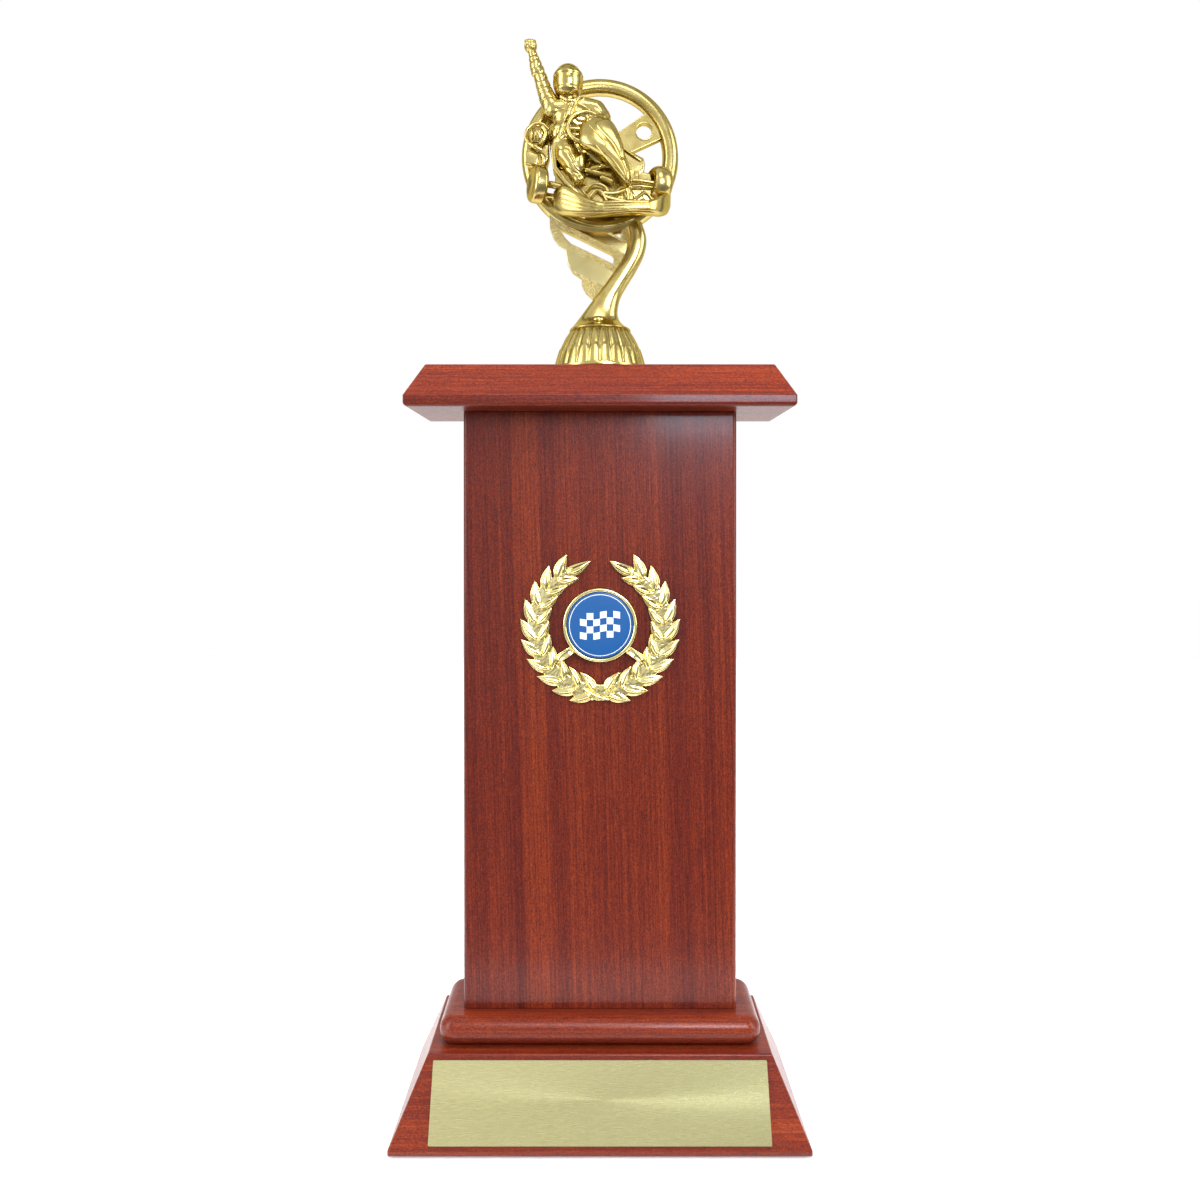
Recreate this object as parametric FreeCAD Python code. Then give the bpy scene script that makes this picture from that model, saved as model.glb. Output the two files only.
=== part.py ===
import FreeCAD, Part
import math
import os

V = FreeCAD.Vector

# Column trophy. Millimetres, +Z up, origin at the middle of the underside,
# the engraved front facing -Y. Every timber stage is centred on the origin.

# --- timber column -------------------------------------------------------
COLUMN_WIDTH = 103.5
COLUMN_DEPTH = 19.0
COLUMN_HEIGHT = 226.2
COLUMN_EDGE_ROUND = 1.8

# --- tier board under the column -----------------------------------------
TIER_OVERHANG_SIDE = 8.3
TIER_OVERHANG_FRONT = 8.8
TIER_THICKNESS = 10.3
TIER_CORNER_RADIUS = 6.0
TIER_NOSE_LAND = 0.4

# --- bevelled plinth and its felt ----------------------------------------
PLINTH_LEDGE = 3.0
PLINTH_BEVEL_INSET = 12.2
PLINTH_BEVEL_HEIGHT = 27.7
PLINTH_FOOT_LAND = 1.7
TIMBER_EASE = 0.7
PAD_THICKNESS = 1.0
PAD_INSET = 2.5

# --- engraving plate on the front bevel ----------------------------------
PLATE_WIDTH = 121.5
PLATE_MARGIN = 1.9
PLATE_THICKNESS = 0.8
PLATE_CORNER = 0.4
PLATE_TAPE_THICKNESS = 0.25
PLATE_TAPE_INSET = 1.5

# --- cap board -----------------------------------------------------------
CAP_OVERHANG_SIDE = 19.5
CAP_OVERHANG_FRONT = 16.0
CAP_BAND_HEIGHT = 4.0
CAP_BEVEL_HEIGHT = 12.3
CAP_BEVEL_INSET = 7.0
CAP_LOWER_ROUND = 1.6

# --- fixings in the timber -----------------------------------------------
BASE_SCREW_SPACING = 60.0
BASE_SCREW_DIAMETER = 4.8
BASE_SCREW_LENGTH = 62.0
BASE_SCREW_HEAD_DIAMETER = 9.5
BASE_SCREW_HEAD_HEIGHT = 3.2
BASE_SCREW_HEAD_DEPTH = 12.0
SCREW_HOLE_CLEARANCE = 0.3
SCREW_DRIVE_DIAMETER = 3.6
SCREW_DRIVE_DEPTH = 1.8
DOWEL_DIAMETER = 6.0
DOWEL_SPACING = 84.0
LOWER_DOWEL_IN_PLINTH = 9.0
LOWER_DOWEL_IN_COLUMN = 18.0
UPPER_DOWEL_IN_COLUMN = 16.0
UPPER_DOWEL_IN_CAP = 9.0
DOWEL_END_CLEARANCE = 1.0

# --- bolt that holds the figure on the cap -------------------------------
BOLT_DIAMETER = 6.0
BOLT_LENGTH = 30.0
BOLT_HEAD_ACROSS_FLATS = 10.0
BOLT_HEAD_HEIGHT = 4.0
BOLT_HEAD_SINK = 0.6
WASHER_DIAMETER = 12.0
WASHER_THICKNESS = 1.2
WASHER_SIDE_CLEARANCE = 0.5
BOLT_HOLE_CLEARANCE = 0.2
NUT_HEIGHT = 5.0
NUT_HEIGHT_ABOVE_CAP = 5.0
NUT_THREAD_CLEARANCE = 0.05
FIGURE_BORE_CLEARANCE = 0.35
BOLT_TIP_CLEARANCE = 1.5
FIGURE_SEAT_GAP = 0.3

# --- laurel wreath and its 25 mm centre ----------------------------------
INSERT_DIAMETER = 25.0
INSERT_THICKNESS = 1.2
INSERT_CLEARANCE = 0.1
INSERT_RECESS_DEPTH = 1.4
CUP_RIM = 1.25
CUP_FLOOR = 1.8
INSERT_HEIGHT_ON_COLUMN = 145.8
WREATH_CENTRE_DROP = 1.3
WREATH_INNER_RADIUS = 20.0
WREATH_OUTER_RADIUS = 29.0
WREATH_THICKNESS = 2.6
WREATH_OPENING_DEG = 38.0
WREATH_ARM_WIDTH = 2.5
WREATH_ARM_DEG = 33.0
WREATH_TAPE_THICKNESS = 0.6
WREATH_TAPE_DIAMETER = 20.0

# --- figure: fluted foot, riser and steering-wheel ring -------------------
DOME_BASE_RADIUS = 17.8
DOME_TOP_RADIUS = 12.0
DOME_HEIGHT = 15.5
DOME_WALL = 1.6
DOME_BASE_BAND = 1.0
HUB_RADIUS = 8.2
FOOT_RADIUS = 11.8
FOOT_HEIGHT = 3.4
FOOT_RIM = 0.6
STEM_THICKNESS = 8.0
WING_THICKNESS = 4.4
RING_CENTRE_HEIGHT = 82.9
RING_RADIUS = 27.2
RING_TUBE_RADIUS = 3.1
SPOKE_THICKNESS = 3.0
SPOKE_HOLE_RADIUS = 3.1
HUB_PLATE_RADIUS = 9.0

# Both edges of the riser's stem, left then right, as (sideways, up) from
# the middle of the figure's foot; each is one smooth curve.
STEM_LEFT_EDGE = [(-10.2, 16.5), (-6.3, 22.8), (-2.6, 27.8), (1.2, 32.7), (5.4, 38.8),
                  (7.9, 42.1), (9.2, 45.1), (10.4, 48.5), (10.4, 51.4), (9.8, 54.3), (9.4, 57.0)]
STEM_RIGHT_EDGE = [(16.4, 57.0), (17.6, 54.3), (18.0, 50.1), (17.3, 45.9), (15.5, 41.3),
                   (13.0, 37.1), (10.4, 32.9), (8.3, 29.1), (7.3, 26.2), (6.9, 22.0), (9.4, 16.5)]
WING_OUTLINE = [(-19.4, 63.0), (-19.4, 55.5), (-18.1, 51.8), (-16.1, 49.2), (-13.1, 47.4),
                (-13.1, 45.3), (-12.5, 41.7), (-10.6, 38.3), (-7.2, 35.9), (-7.0, 33.3),
                (-5.5, 30.4), (-2.4, 27.6), (12.0, 40.0), (12.5, 57.0)]
WING_SLOT = [(-15.4, 54.9), (4.4, 45.2), (5.5, 43.8), (5.0, 41.3), (-11.4, 49.2), (-13.5, 51.4)]

# --- figure: kart and driver, in front of the ring -----------------------
# Places are (sideways, forward is negative, up) from the ring's centre, for
# a ring of this radius; the whole relief grows and shrinks with the ring.
RELIEF_DRAWN_RADIUS = 27.2
CHASSIS_OUTLINE = [(-18.0, -11.0), (-19.0, -21.5), (0.0, -25.5), (15.0, -24.5),
                   (20.0, -19.0), (17.0, -9.0), (0.0, -6.0)]
CHASSIS_BACK = -2.0
CHASSIS_FRONT = -13.0
BUMPER_OUTLINE = [(-19.4, -13.0), (-17.0, -13.2), (-14.0, -20.5), (0.0, -23.4), (14.0, -22.6),
                  (23.6, -15.0), (26.2, -12.6), (26.7, -19.0), (15.0, -27.0), (-0.6, -28.0),
                  (-19.2, -22.8)]
BUMPER_FRONT = -21.0
FAIRING_OUTLINE = [(-8.4, 0.6), (-7.6, 5.6), (-5.2, 9.2), (2.0, 9.6), (7.6, 2.4), (9.4, -5.2),
                   (11.4, -14.5), (10.4, -17.6), (3.7, -10.6), (-3.4, -5.2)]
FAIRING_FRONT = -22.0
SEAT_SIZE = (17.0, 4.0, 18.0)
SEAT_CENTRE = (-12.0, -3.6, 6.0)
TYRE_DIAMETER = 13.6
TYRE_WIDTH = 5.4
TYRE_SHOULDER = 1.4
TYRE_TURN_DEG = 20.0
REAR_TYRE_CENTRE = (-23.6, -9.0, -13.5)
FRONT_TYRE_CENTRE = (22.4, -8.6, -13.6)
ENGINE_RADIUS = 4.9
ENGINE_LENGTH = 8.0
ENGINE_CENTRE = (-23.0, -8.5, 5.6)
ENGINE_BLOCK = (7.4, 8.0, 14.0)
ENGINE_BLOCK_CENTRE = (-22.4, -7.5, -2.0)
STEERING_CENTRE = (-5.5, -16.0, 5.3)
STEERING_RADIUS = 6.4
STEERING_TUBE = 0.8
STEERING_LEAN_DEG = 20.0
HELMET_RADIUS = 5.8
HELMET_CENTRE = (-11.6, -8.6, 25.9)
CHEST = (-9.5, -8.5, 13.0)
HIP = (-12.0, -8.5, 3.0)
TORSO_RADIUS = 6.4
SHOULDER_LEFT = (-17.4, -8.5, 15.4)
SHOULDER_RIGHT = (-0.5, -8.5, 15.6)
ELBOW_RAISED = (-23.2, -7.0, 29.4)
HAND_RAISED = (-26.4, -6.0, 40.2)
FIST_RADIUS = 2.7
ARM_RADIUS = 2.6
ELBOW_LOW = (3.0, -12.0, 9.5)
HAND_LOW = (0.5, -16.5, 5.5)
KNEE_LEFT = (-14.5, -15.0, -3.0)
FOOT_LEFT = (-8.5, -15.5, -15.5)
KNEE_RIGHT = (14.0, -12.5, -3.0)
LEG_RADIUS = 3.4

# --- worked out from the sizes above -------------------------------------
TIER_WIDTH = COLUMN_WIDTH + 2 * TIER_OVERHANG_SIDE
TIER_DEPTH = COLUMN_DEPTH + 2 * TIER_OVERHANG_FRONT
PLINTH_TOP_WIDTH = TIER_WIDTH + 2 * PLINTH_LEDGE
PLINTH_TOP_DEPTH = TIER_DEPTH + 2 * PLINTH_LEDGE
PLINTH_WIDTH = PLINTH_TOP_WIDTH + 2 * PLINTH_BEVEL_INSET
PLINTH_DEPTH = PLINTH_TOP_DEPTH + 2 * PLINTH_BEVEL_INSET
PLINTH_BEVEL_Z = PAD_THICKNESS + PLINTH_FOOT_LAND
PLINTH_TOP_Z = PLINTH_BEVEL_Z + PLINTH_BEVEL_HEIGHT
TIER_TOP_Z = PLINTH_TOP_Z + TIER_THICKNESS
COLUMN_TOP_Z = TIER_TOP_Z + COLUMN_HEIGHT
CAP_WIDTH = COLUMN_WIDTH + 2 * CAP_OVERHANG_SIDE
CAP_DEPTH = COLUMN_DEPTH + 2 * CAP_OVERHANG_FRONT
CAP_BEVEL_Z = COLUMN_TOP_Z + CAP_BAND_HEIGHT
CAP_TOP_Z = CAP_BEVEL_Z + CAP_BEVEL_HEIGHT
FIGURE_Z = CAP_TOP_Z + FIGURE_SEAT_GAP
RING_Z = CAP_TOP_Z + RING_CENTRE_HEIGHT
FRONT_FACE_Y = -COLUMN_DEPTH / 2
BOLT_RADIUS = BOLT_DIAMETER / 2
BOLT_HEAD_Z = COLUMN_TOP_Z + BOLT_HEAD_SINK
WASHER_Z = BOLT_HEAD_Z + BOLT_HEAD_HEIGHT
BOLT_TIP_Z = WASHER_Z + BOLT_LENGTH
NUT_Z = CAP_TOP_Z + NUT_HEIGHT_ABOVE_CAP
INSERT_Z = TIER_TOP_Z + INSERT_HEIGHT_ON_COLUMN
WREATH_Z = INSERT_Z - WREATH_CENTRE_DROP
CUP_BACK_Y = FRONT_FACE_Y - WREATH_TAPE_THICKNESS
CUP_FLOOR_Y = CUP_BACK_Y - CUP_FLOOR


# --- shared shape makers --------------------------------------------------
def box_on(width, depth, height, z):
    """A box centred on the Z axis, standing at height z."""
    return Part.makeBox(width, depth, height, V(-width / 2, -depth / 2, z))


def rectangle(width, depth, z):
    corners = [V(-width / 2, -depth / 2, z), V(width / 2, -depth / 2, z),
               V(width / 2, depth / 2, z), V(-width / 2, depth / 2, z)]
    return Part.makePolygon(corners + corners[:1])


def bevelled_block(width, depth, inset, band, bevel, z):
    """A board with an upright band below and four sloping sides above it."""
    lower = box_on(width, depth, band, z)
    slope = Part.makeLoft([rectangle(width, depth, z + band),
                           rectangle(width - 2 * inset, depth - 2 * inset, z + band + bevel)],
                          True, True)
    return lower.fuse(slope).removeSplitter()


def edges_at(shape, z_low, z_high):
    """The edges whose middle lies between two heights."""
    found = []
    for edge in shape.Edges:
        middle = edge.BoundBox.Center.z
        if z_low - 1e-4 <= middle <= z_high + 1e-4:
            found.append(edge)
    return found


def upright_hole(radius, z_low, z_high, x):
    return Part.makeCylinder(radius, z_high - z_low, V(x, 0, z_low))


def hexagon(across_flats, height, z):
    corner = across_flats / math.sqrt(3)
    points = [V(corner * math.cos(math.radians(60 * k)), corner * math.sin(math.radians(60 * k)), z)
              for k in range(7)]
    return Part.Face(Part.makePolygon(points)).extrude(V(0, 0, height))


def disc_on_front(radius, thickness, y_back, z):
    """A disc facing the front, its back at y_back."""
    return Part.makeCylinder(radius, thickness, V(0, y_back, z), V(0, -1, 0))


def upright_plate(outline, y_back, y_front, z):
    """A flat outline of (sideways, up) points, made thick from back to front."""
    points = [V(across, y_back, z + up) for across, up in outline]
    face = Part.Face(Part.makePolygon(points + points[:1]))
    return face.extrude(V(0, y_front - y_back, 0))


def on_ring(place):
    return V(place[0], place[1], RING_Z + place[2])


def limb(start, end, radius):
    """A round-ended rod between two points."""
    run = end - start
    rod = Part.makeCylinder(radius, run.Length, start, run)
    return rod.fuse([Part.makeSphere(radius, start), Part.makeSphere(radius, end)])


def sized_to_ring(shape):
    """The kart and driver at the size that suits the ring."""
    shape.scale(RING_RADIUS / RELIEF_DRAWN_RADIUS, V(0, 0, RING_Z))
    return shape


def seated(shape, neighbours):
    """A moulding trimmed where it meets its neighbours; the main solid is kept."""
    trimmed = shape.cut(list(neighbours))
    return max(trimmed.Solids, key=lambda solid: solid.Volume)


# --- the timber stand ------------------------------------------------------
def screw_places():
    return [-BASE_SCREW_SPACING / 2, BASE_SCREW_SPACING / 2]


def dowel_places():
    return [-DOWEL_SPACING / 2, DOWEL_SPACING / 2]


def screw_head_z():
    return PAD_THICKNESS + BASE_SCREW_HEAD_DEPTH


def plinth_block():
    block = bevelled_block(PLINTH_WIDTH, PLINTH_DEPTH, PLINTH_BEVEL_INSET,
                           PLINTH_FOOT_LAND, PLINTH_BEVEL_HEIGHT, PAD_THICKNESS)
    eased = edges_at(block, PLINTH_BEVEL_Z, PLINTH_TOP_Z)
    block = block.makeFillet(TIMBER_EASE, eased)
    for x in screw_places():
        head_hole = BASE_SCREW_HEAD_DIAMETER / 2 + SCREW_HOLE_CLEARANCE
        shank_hole = BASE_SCREW_DIAMETER / 2 + SCREW_HOLE_CLEARANCE
        block = block.cut(upright_hole(head_hole, PAD_THICKNESS - 1, screw_head_z(), x))
        block = block.cut(upright_hole(shank_hole, PAD_THICKNESS, PLINTH_TOP_Z + 1, x))
    for x in dowel_places():
        seat = PLINTH_TOP_Z - LOWER_DOWEL_IN_PLINTH - DOWEL_END_CLEARANCE
        block = block.cut(upright_hole(DOWEL_DIAMETER / 2, seat, PLINTH_TOP_Z + 1, x))
    return block


def base_pad():
    return box_on(PLINTH_WIDTH - 2 * PAD_INSET, PLINTH_DEPTH - 2 * PAD_INSET, PAD_THICKNESS, 0)


def tier_board():
    board = box_on(TIER_WIDTH, TIER_DEPTH, TIER_THICKNESS, PLINTH_TOP_Z)
    upright = edges_at(board, PLINTH_TOP_Z + TIER_THICKNESS / 2, PLINTH_TOP_Z + TIER_THICKNESS / 2)
    board = board.makeFillet(TIER_CORNER_RADIUS, upright)
    nose = (TIER_THICKNESS - TIER_NOSE_LAND) / 2
    rims = edges_at(board, PLINTH_TOP_Z, PLINTH_TOP_Z) + edges_at(board, TIER_TOP_Z, TIER_TOP_Z)
    board = board.makeFillet(nose, rims)
    for x in screw_places():
        hole = BASE_SCREW_DIAMETER / 2 + SCREW_HOLE_CLEARANCE
        board = board.cut(upright_hole(hole, PLINTH_TOP_Z - 1, TIER_TOP_Z + 1, x))
    for x in dowel_places():
        board = board.cut(upright_hole(DOWEL_DIAMETER / 2, PLINTH_TOP_Z - 1, TIER_TOP_Z + 1, x))
    return board


def column_board():
    board = box_on(COLUMN_WIDTH, COLUMN_DEPTH, COLUMN_HEIGHT, TIER_TOP_Z)
    middle = TIER_TOP_Z + COLUMN_HEIGHT / 2
    board = board.makeFillet(COLUMN_EDGE_ROUND, edges_at(board, middle, middle))
    for x in screw_places():
        pilot_top = screw_head_z() + BASE_SCREW_LENGTH + DOWEL_END_CLEARANCE
        board = board.cut(upright_hole(BASE_SCREW_DIAMETER / 2, TIER_TOP_Z - 1, pilot_top, x))
    for x in dowel_places():
        lower_top = TIER_TOP_Z + LOWER_DOWEL_IN_COLUMN + DOWEL_END_CLEARANCE
        upper_low = COLUMN_TOP_Z - UPPER_DOWEL_IN_COLUMN - DOWEL_END_CLEARANCE
        board = board.cut(upright_hole(DOWEL_DIAMETER / 2, TIER_TOP_Z - 1, lower_top, x))
        board = board.cut(upright_hole(DOWEL_DIAMETER / 2, upper_low, COLUMN_TOP_Z + 1, x))
    return board


def cap_board():
    block = bevelled_block(CAP_WIDTH, CAP_DEPTH, CAP_BEVEL_INSET,
                           CAP_BAND_HEIGHT, CAP_BEVEL_HEIGHT, COLUMN_TOP_Z)
    block = block.makeFillet(CAP_LOWER_ROUND, edges_at(block, COLUMN_TOP_Z, COLUMN_TOP_Z))
    block = block.makeFillet(TIMBER_EASE, edges_at(block, CAP_TOP_Z, CAP_TOP_Z))
    head_room = WASHER_DIAMETER / 2 + WASHER_SIDE_CLEARANCE
    block = block.cut(upright_hole(head_room, COLUMN_TOP_Z - 1, WASHER_Z, 0))
    block = block.cut(upright_hole(BOLT_RADIUS + BOLT_HOLE_CLEARANCE, WASHER_Z - 1, CAP_TOP_Z + 1, 0))
    for x in dowel_places():
        seat = COLUMN_TOP_Z + UPPER_DOWEL_IN_CAP + DOWEL_END_CLEARANCE
        block = block.cut(upright_hole(DOWEL_DIAMETER / 2, COLUMN_TOP_Z - 1, seat, x))
    return block


def base_screw(x):
    """A countersunk wood screw driven up from under the plinth."""
    head_z = screw_head_z()
    radius = BASE_SCREW_DIAMETER / 2
    shank = upright_hole(radius, head_z, head_z + BASE_SCREW_LENGTH, x)
    head = upright_hole(BASE_SCREW_HEAD_DIAMETER / 2, head_z - BASE_SCREW_HEAD_HEIGHT, head_z, x)
    drive_top = head_z - BASE_SCREW_HEAD_HEIGHT + SCREW_DRIVE_DEPTH
    drive = upright_hole(SCREW_DRIVE_DIAMETER / 2, head_z - BASE_SCREW_HEAD_HEIGHT, drive_top, x)
    return shank.fuse(head).cut(drive)


def lower_dowel(x):
    return upright_hole(DOWEL_DIAMETER / 2, PLINTH_TOP_Z - LOWER_DOWEL_IN_PLINTH,
                        TIER_TOP_Z + LOWER_DOWEL_IN_COLUMN, x)


def upper_dowel(x):
    return upright_hole(DOWEL_DIAMETER / 2, COLUMN_TOP_Z - UPPER_DOWEL_IN_COLUMN,
                        COLUMN_TOP_Z + UPPER_DOWEL_IN_CAP, x)


# --- plate on the front bevel ----------------------------------------------
def bevel_length():
    return math.hypot(PLINTH_BEVEL_INSET, PLINTH_BEVEL_HEIGHT)


def on_front_bevel(width, height, thickness, lift, corner):
    """A thin sheet lying on the front bevel, lift above the timber."""
    sheet = Part.makeBox(width, height, thickness, V(-width / 2, -height / 2, lift))
    if corner > 0:
        upright = [edge for edge in sheet.Edges if edge.BoundBox.ZLength > thickness / 2]
        sheet = sheet.makeFillet(corner, upright)
    slope = math.degrees(math.atan2(PLINTH_BEVEL_HEIGHT, PLINTH_BEVEL_INSET))
    middle = V(0, -(PLINTH_DEPTH - PLINTH_BEVEL_INSET) / 2, PLINTH_BEVEL_Z + PLINTH_BEVEL_HEIGHT / 2)
    sheet.Placement = FreeCAD.Placement(middle, FreeCAD.Rotation(V(1, 0, 0), slope))
    return sheet


def plate_tape():
    return on_front_bevel(PLATE_WIDTH - 2 * PLATE_TAPE_INSET,
                          bevel_length() - 2 * (PLATE_MARGIN + PLATE_TAPE_INSET),
                          PLATE_TAPE_THICKNESS, 0, 0)


def engraving_plate():
    return on_front_bevel(PLATE_WIDTH, bevel_length() - 2 * PLATE_MARGIN,
                          PLATE_THICKNESS, PLATE_TAPE_THICKNESS, PLATE_CORNER)


# --- wreath with its centre ---------------------------------------------
def wreath_band():
    """The open laurel ring as a plain band; each end is cut square to it."""
    band = disc_on_front(WREATH_OUTER_RADIUS, WREATH_THICKNESS, CUP_BACK_Y, WREATH_Z)
    band = band.cut(disc_on_front(WREATH_INNER_RADIUS, WREATH_THICKNESS, CUP_BACK_Y, WREATH_Z))
    half = math.radians(WREATH_OPENING_DEG / 2)
    reach = 2 * WREATH_OUTER_RADIUS
    opening = [(0, 0), (-reach * math.sin(half), reach * math.cos(half)),
               (reach * math.sin(half), reach * math.cos(half))]
    return band.cut(upright_plate(opening, CUP_BACK_Y, CUP_BACK_Y - WREATH_THICKNESS, WREATH_Z))


def wreath_arm(side):
    """A strut from the cup down and out to the laurel band."""
    length = WREATH_INNER_RADIUS + (WREATH_OUTER_RADIUS - WREATH_INNER_RADIUS) / 2
    arm = Part.makeBox(length, WREATH_THICKNESS, WREATH_ARM_WIDTH,
                       V(0, CUP_BACK_Y - WREATH_THICKNESS, -WREATH_ARM_WIDTH / 2))
    lean = WREATH_ARM_DEG if side > 0 else 180 - WREATH_ARM_DEG
    arm.rotate(V(0, 0, 0), V(0, 1, 0), lean)
    arm.translate(V(0, 0, WREATH_Z))
    return arm


def laurel_wreath():
    cup_radius = INSERT_DIAMETER / 2 + CUP_RIM
    cup = disc_on_front(cup_radius, CUP_FLOOR + INSERT_RECESS_DEPTH, CUP_BACK_Y, INSERT_Z)
    wreath = cup.fuse([wreath_band(), wreath_arm(-1), wreath_arm(1)])
    recess = disc_on_front(INSERT_DIAMETER / 2 + INSERT_CLEARANCE, INSERT_RECESS_DEPTH + 1,
                           CUP_FLOOR_Y, INSERT_Z)
    return wreath.cut(recess).removeSplitter()


def wreath_tape():
    return disc_on_front(WREATH_TAPE_DIAMETER / 2, WREATH_TAPE_THICKNESS, FRONT_FACE_Y, INSERT_Z)


def insert_disc():
    return disc_on_front(INSERT_DIAMETER / 2, INSERT_THICKNESS, CUP_FLOOR_Y, INSERT_Z)


# --- bolt, washer and nut --------------------------------------------------
def figure_bolt():
    head = hexagon(BOLT_HEAD_ACROSS_FLATS, BOLT_HEAD_HEIGHT, BOLT_HEAD_Z)
    return head.fuse(upright_hole(BOLT_RADIUS, WASHER_Z - 1, BOLT_TIP_Z, 0)).removeSplitter()


def bolt_washer():
    ring = upright_hole(WASHER_DIAMETER / 2, WASHER_Z - WASHER_THICKNESS, WASHER_Z, 0)
    return ring


def captive_nut():
    nut = hexagon(BOLT_HEAD_ACROSS_FLATS, NUT_HEIGHT, NUT_Z)
    return nut.cut(upright_hole(BOLT_RADIUS + NUT_THREAD_CLEARANCE, NUT_Z - 1, NUT_Z + NUT_HEIGHT + 1, 0))


# --- figure: foot, riser and ring --------------------------------------
def dome_profile(base_radius, top_radius, height, z):
    """A convex side from the base band up to the flat top."""
    shoulder = V(base_radius, 0, z + DOME_BASE_BAND)
    rise = height - DOME_BASE_BAND
    bulge = V(top_radius + (base_radius - top_radius) * 0.78, 0, z + DOME_BASE_BAND + rise * 0.5)
    top = V(top_radius, 0, z + height)
    side = Part.Arc(shoulder, bulge, top).toShape()
    outline = Part.Wire([Part.makeLine(V(0, 0, z), V(base_radius, 0, z)),
                         Part.makeLine(V(base_radius, 0, z), shoulder), side,
                         Part.makeLine(top, V(0, 0, z + height)),
                         Part.makeLine(V(0, 0, z + height), V(0, 0, z))])
    return Part.Face(outline).revolve(V(0, 0, 0), V(0, 0, 1), 360)


def figure_dome():
    outer = dome_profile(DOME_BASE_RADIUS, DOME_TOP_RADIUS, DOME_HEIGHT, FIGURE_Z)
    inner = dome_profile(DOME_BASE_RADIUS - DOME_WALL, DOME_TOP_RADIUS - DOME_WALL,
                         DOME_HEIGHT - DOME_WALL, FIGURE_Z)
    hub = upright_hole(HUB_RADIUS, FIGURE_Z, FIGURE_Z + DOME_HEIGHT, 0)
    return outer.cut(inner).cut(hub)


def smooth_edge(points, y):
    curve = Part.BSplineCurve()
    curve.interpolate([V(across, y, FIGURE_Z + up) for across, up in points])
    return curve.toShape()


def bolt_bore():
    """Clearance for the bolt above and below the nut, and the nut's pocket."""
    bore = upright_hole(BOLT_RADIUS + FIGURE_BORE_CLEARANCE, FIGURE_Z - 1,
                        BOLT_TIP_Z + BOLT_TIP_CLEARANCE, 0)
    return bore.fuse(hexagon(BOLT_HEAD_ACROSS_FLATS, NUT_HEIGHT, NUT_Z))


def riser_stem():
    """Hub inside the dome, flared foot on it, and the leaning stem."""
    back = STEM_THICKNESS / 2
    left = smooth_edge(STEM_LEFT_EDGE, back)
    right = smooth_edge(STEM_RIGHT_EDGE, back)
    corners = [V(across, back, FIGURE_Z + up) for across, up in
               (STEM_LEFT_EDGE[-1], STEM_RIGHT_EDGE[0], STEM_RIGHT_EDGE[-1], STEM_LEFT_EDGE[0])]
    outline = Part.Wire([left, Part.makeLine(corners[0], corners[1]), right,
                         Part.makeLine(corners[2], corners[3])])
    blade = Part.Face(outline).extrude(V(0, -STEM_THICKNESS, 0))
    foot_z = FIGURE_Z + DOME_HEIGHT
    rim = upright_hole(FOOT_RADIUS, foot_z, foot_z + FOOT_RIM, 0)
    flare = Part.makeCone(FOOT_RADIUS, HUB_RADIUS, FOOT_HEIGHT - FOOT_RIM, V(0, 0, foot_z + FOOT_RIM))
    hub = upright_hole(HUB_RADIUS, FIGURE_Z, foot_z, 0)
    return blade.fuse([rim, flare, hub]).cut(bolt_bore())


def riser_wing():
    half = WING_THICKNESS / 2
    plate = upright_plate(WING_OUTLINE, half, -half, FIGURE_Z)
    return plate.cut(upright_plate(WING_SLOT, half, -half, FIGURE_Z))


def wheel_rim():
    return Part.makeTorus(RING_RADIUS, RING_TUBE_RADIUS, V(0, 0, RING_Z), V(0, 1, 0))


def wheel_spokes():
    """Three flat spokes with a round lightening hole, on a middle plate."""
    half = SPOKE_THICKNESS / 2
    spokes = Part.makeCylinder(HUB_PLATE_RADIUS, SPOKE_THICKNESS, V(0, half, RING_Z), V(0, -1, 0))
    outline = [(0, -6.0), (15.0, -4.2), (RING_RADIUS, -7.6), (RING_RADIUS, 7.6), (15.0, 4.2), (0, 6.0)]
    for lean in (30, 150, 270):
        spoke = upright_plate(outline, half, -half, 0)
        hole = Part.makeCylinder(SPOKE_HOLE_RADIUS, SPOKE_THICKNESS, V(19.6, half, 0), V(0, -1, 0))
        spoke = spoke.cut(hole)
        spoke.rotate(V(0, 0, 0), V(0, 1, 0), -lean)
        spoke.translate(V(0, 0, RING_Z))
        spokes = spokes.fuse(spoke)
    return spokes.removeSplitter()


# --- figure: the kart ------------------------------------------------------
def kart_chassis():
    return upright_plate(CHASSIS_OUTLINE, CHASSIS_BACK, CHASSIS_FRONT, RING_Z)


def front_bumper():
    return upright_plate(BUMPER_OUTLINE, CHASSIS_FRONT, BUMPER_FRONT, RING_Z)


def front_fairing():
    return upright_plate(FAIRING_OUTLINE, CHASSIS_FRONT, FAIRING_FRONT, RING_Z)


def placed_box(size, centre):
    corner = on_ring(centre) - V(size[0] / 2, size[1] / 2, size[2] / 2)
    return Part.makeBox(size[0], size[1], size[2], corner)


def kart_seat():
    return placed_box(SEAT_SIZE, SEAT_CENTRE)


def kart_engine():
    block = placed_box(ENGINE_BLOCK, ENGINE_BLOCK_CENTRE)
    start = on_ring(ENGINE_CENTRE) + V(0, ENGINE_LENGTH / 2, 0)
    cylinder = Part.makeCylinder(ENGINE_RADIUS, ENGINE_LENGTH, start, V(0, -1, 0))
    return block.fuse(cylinder)


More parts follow.
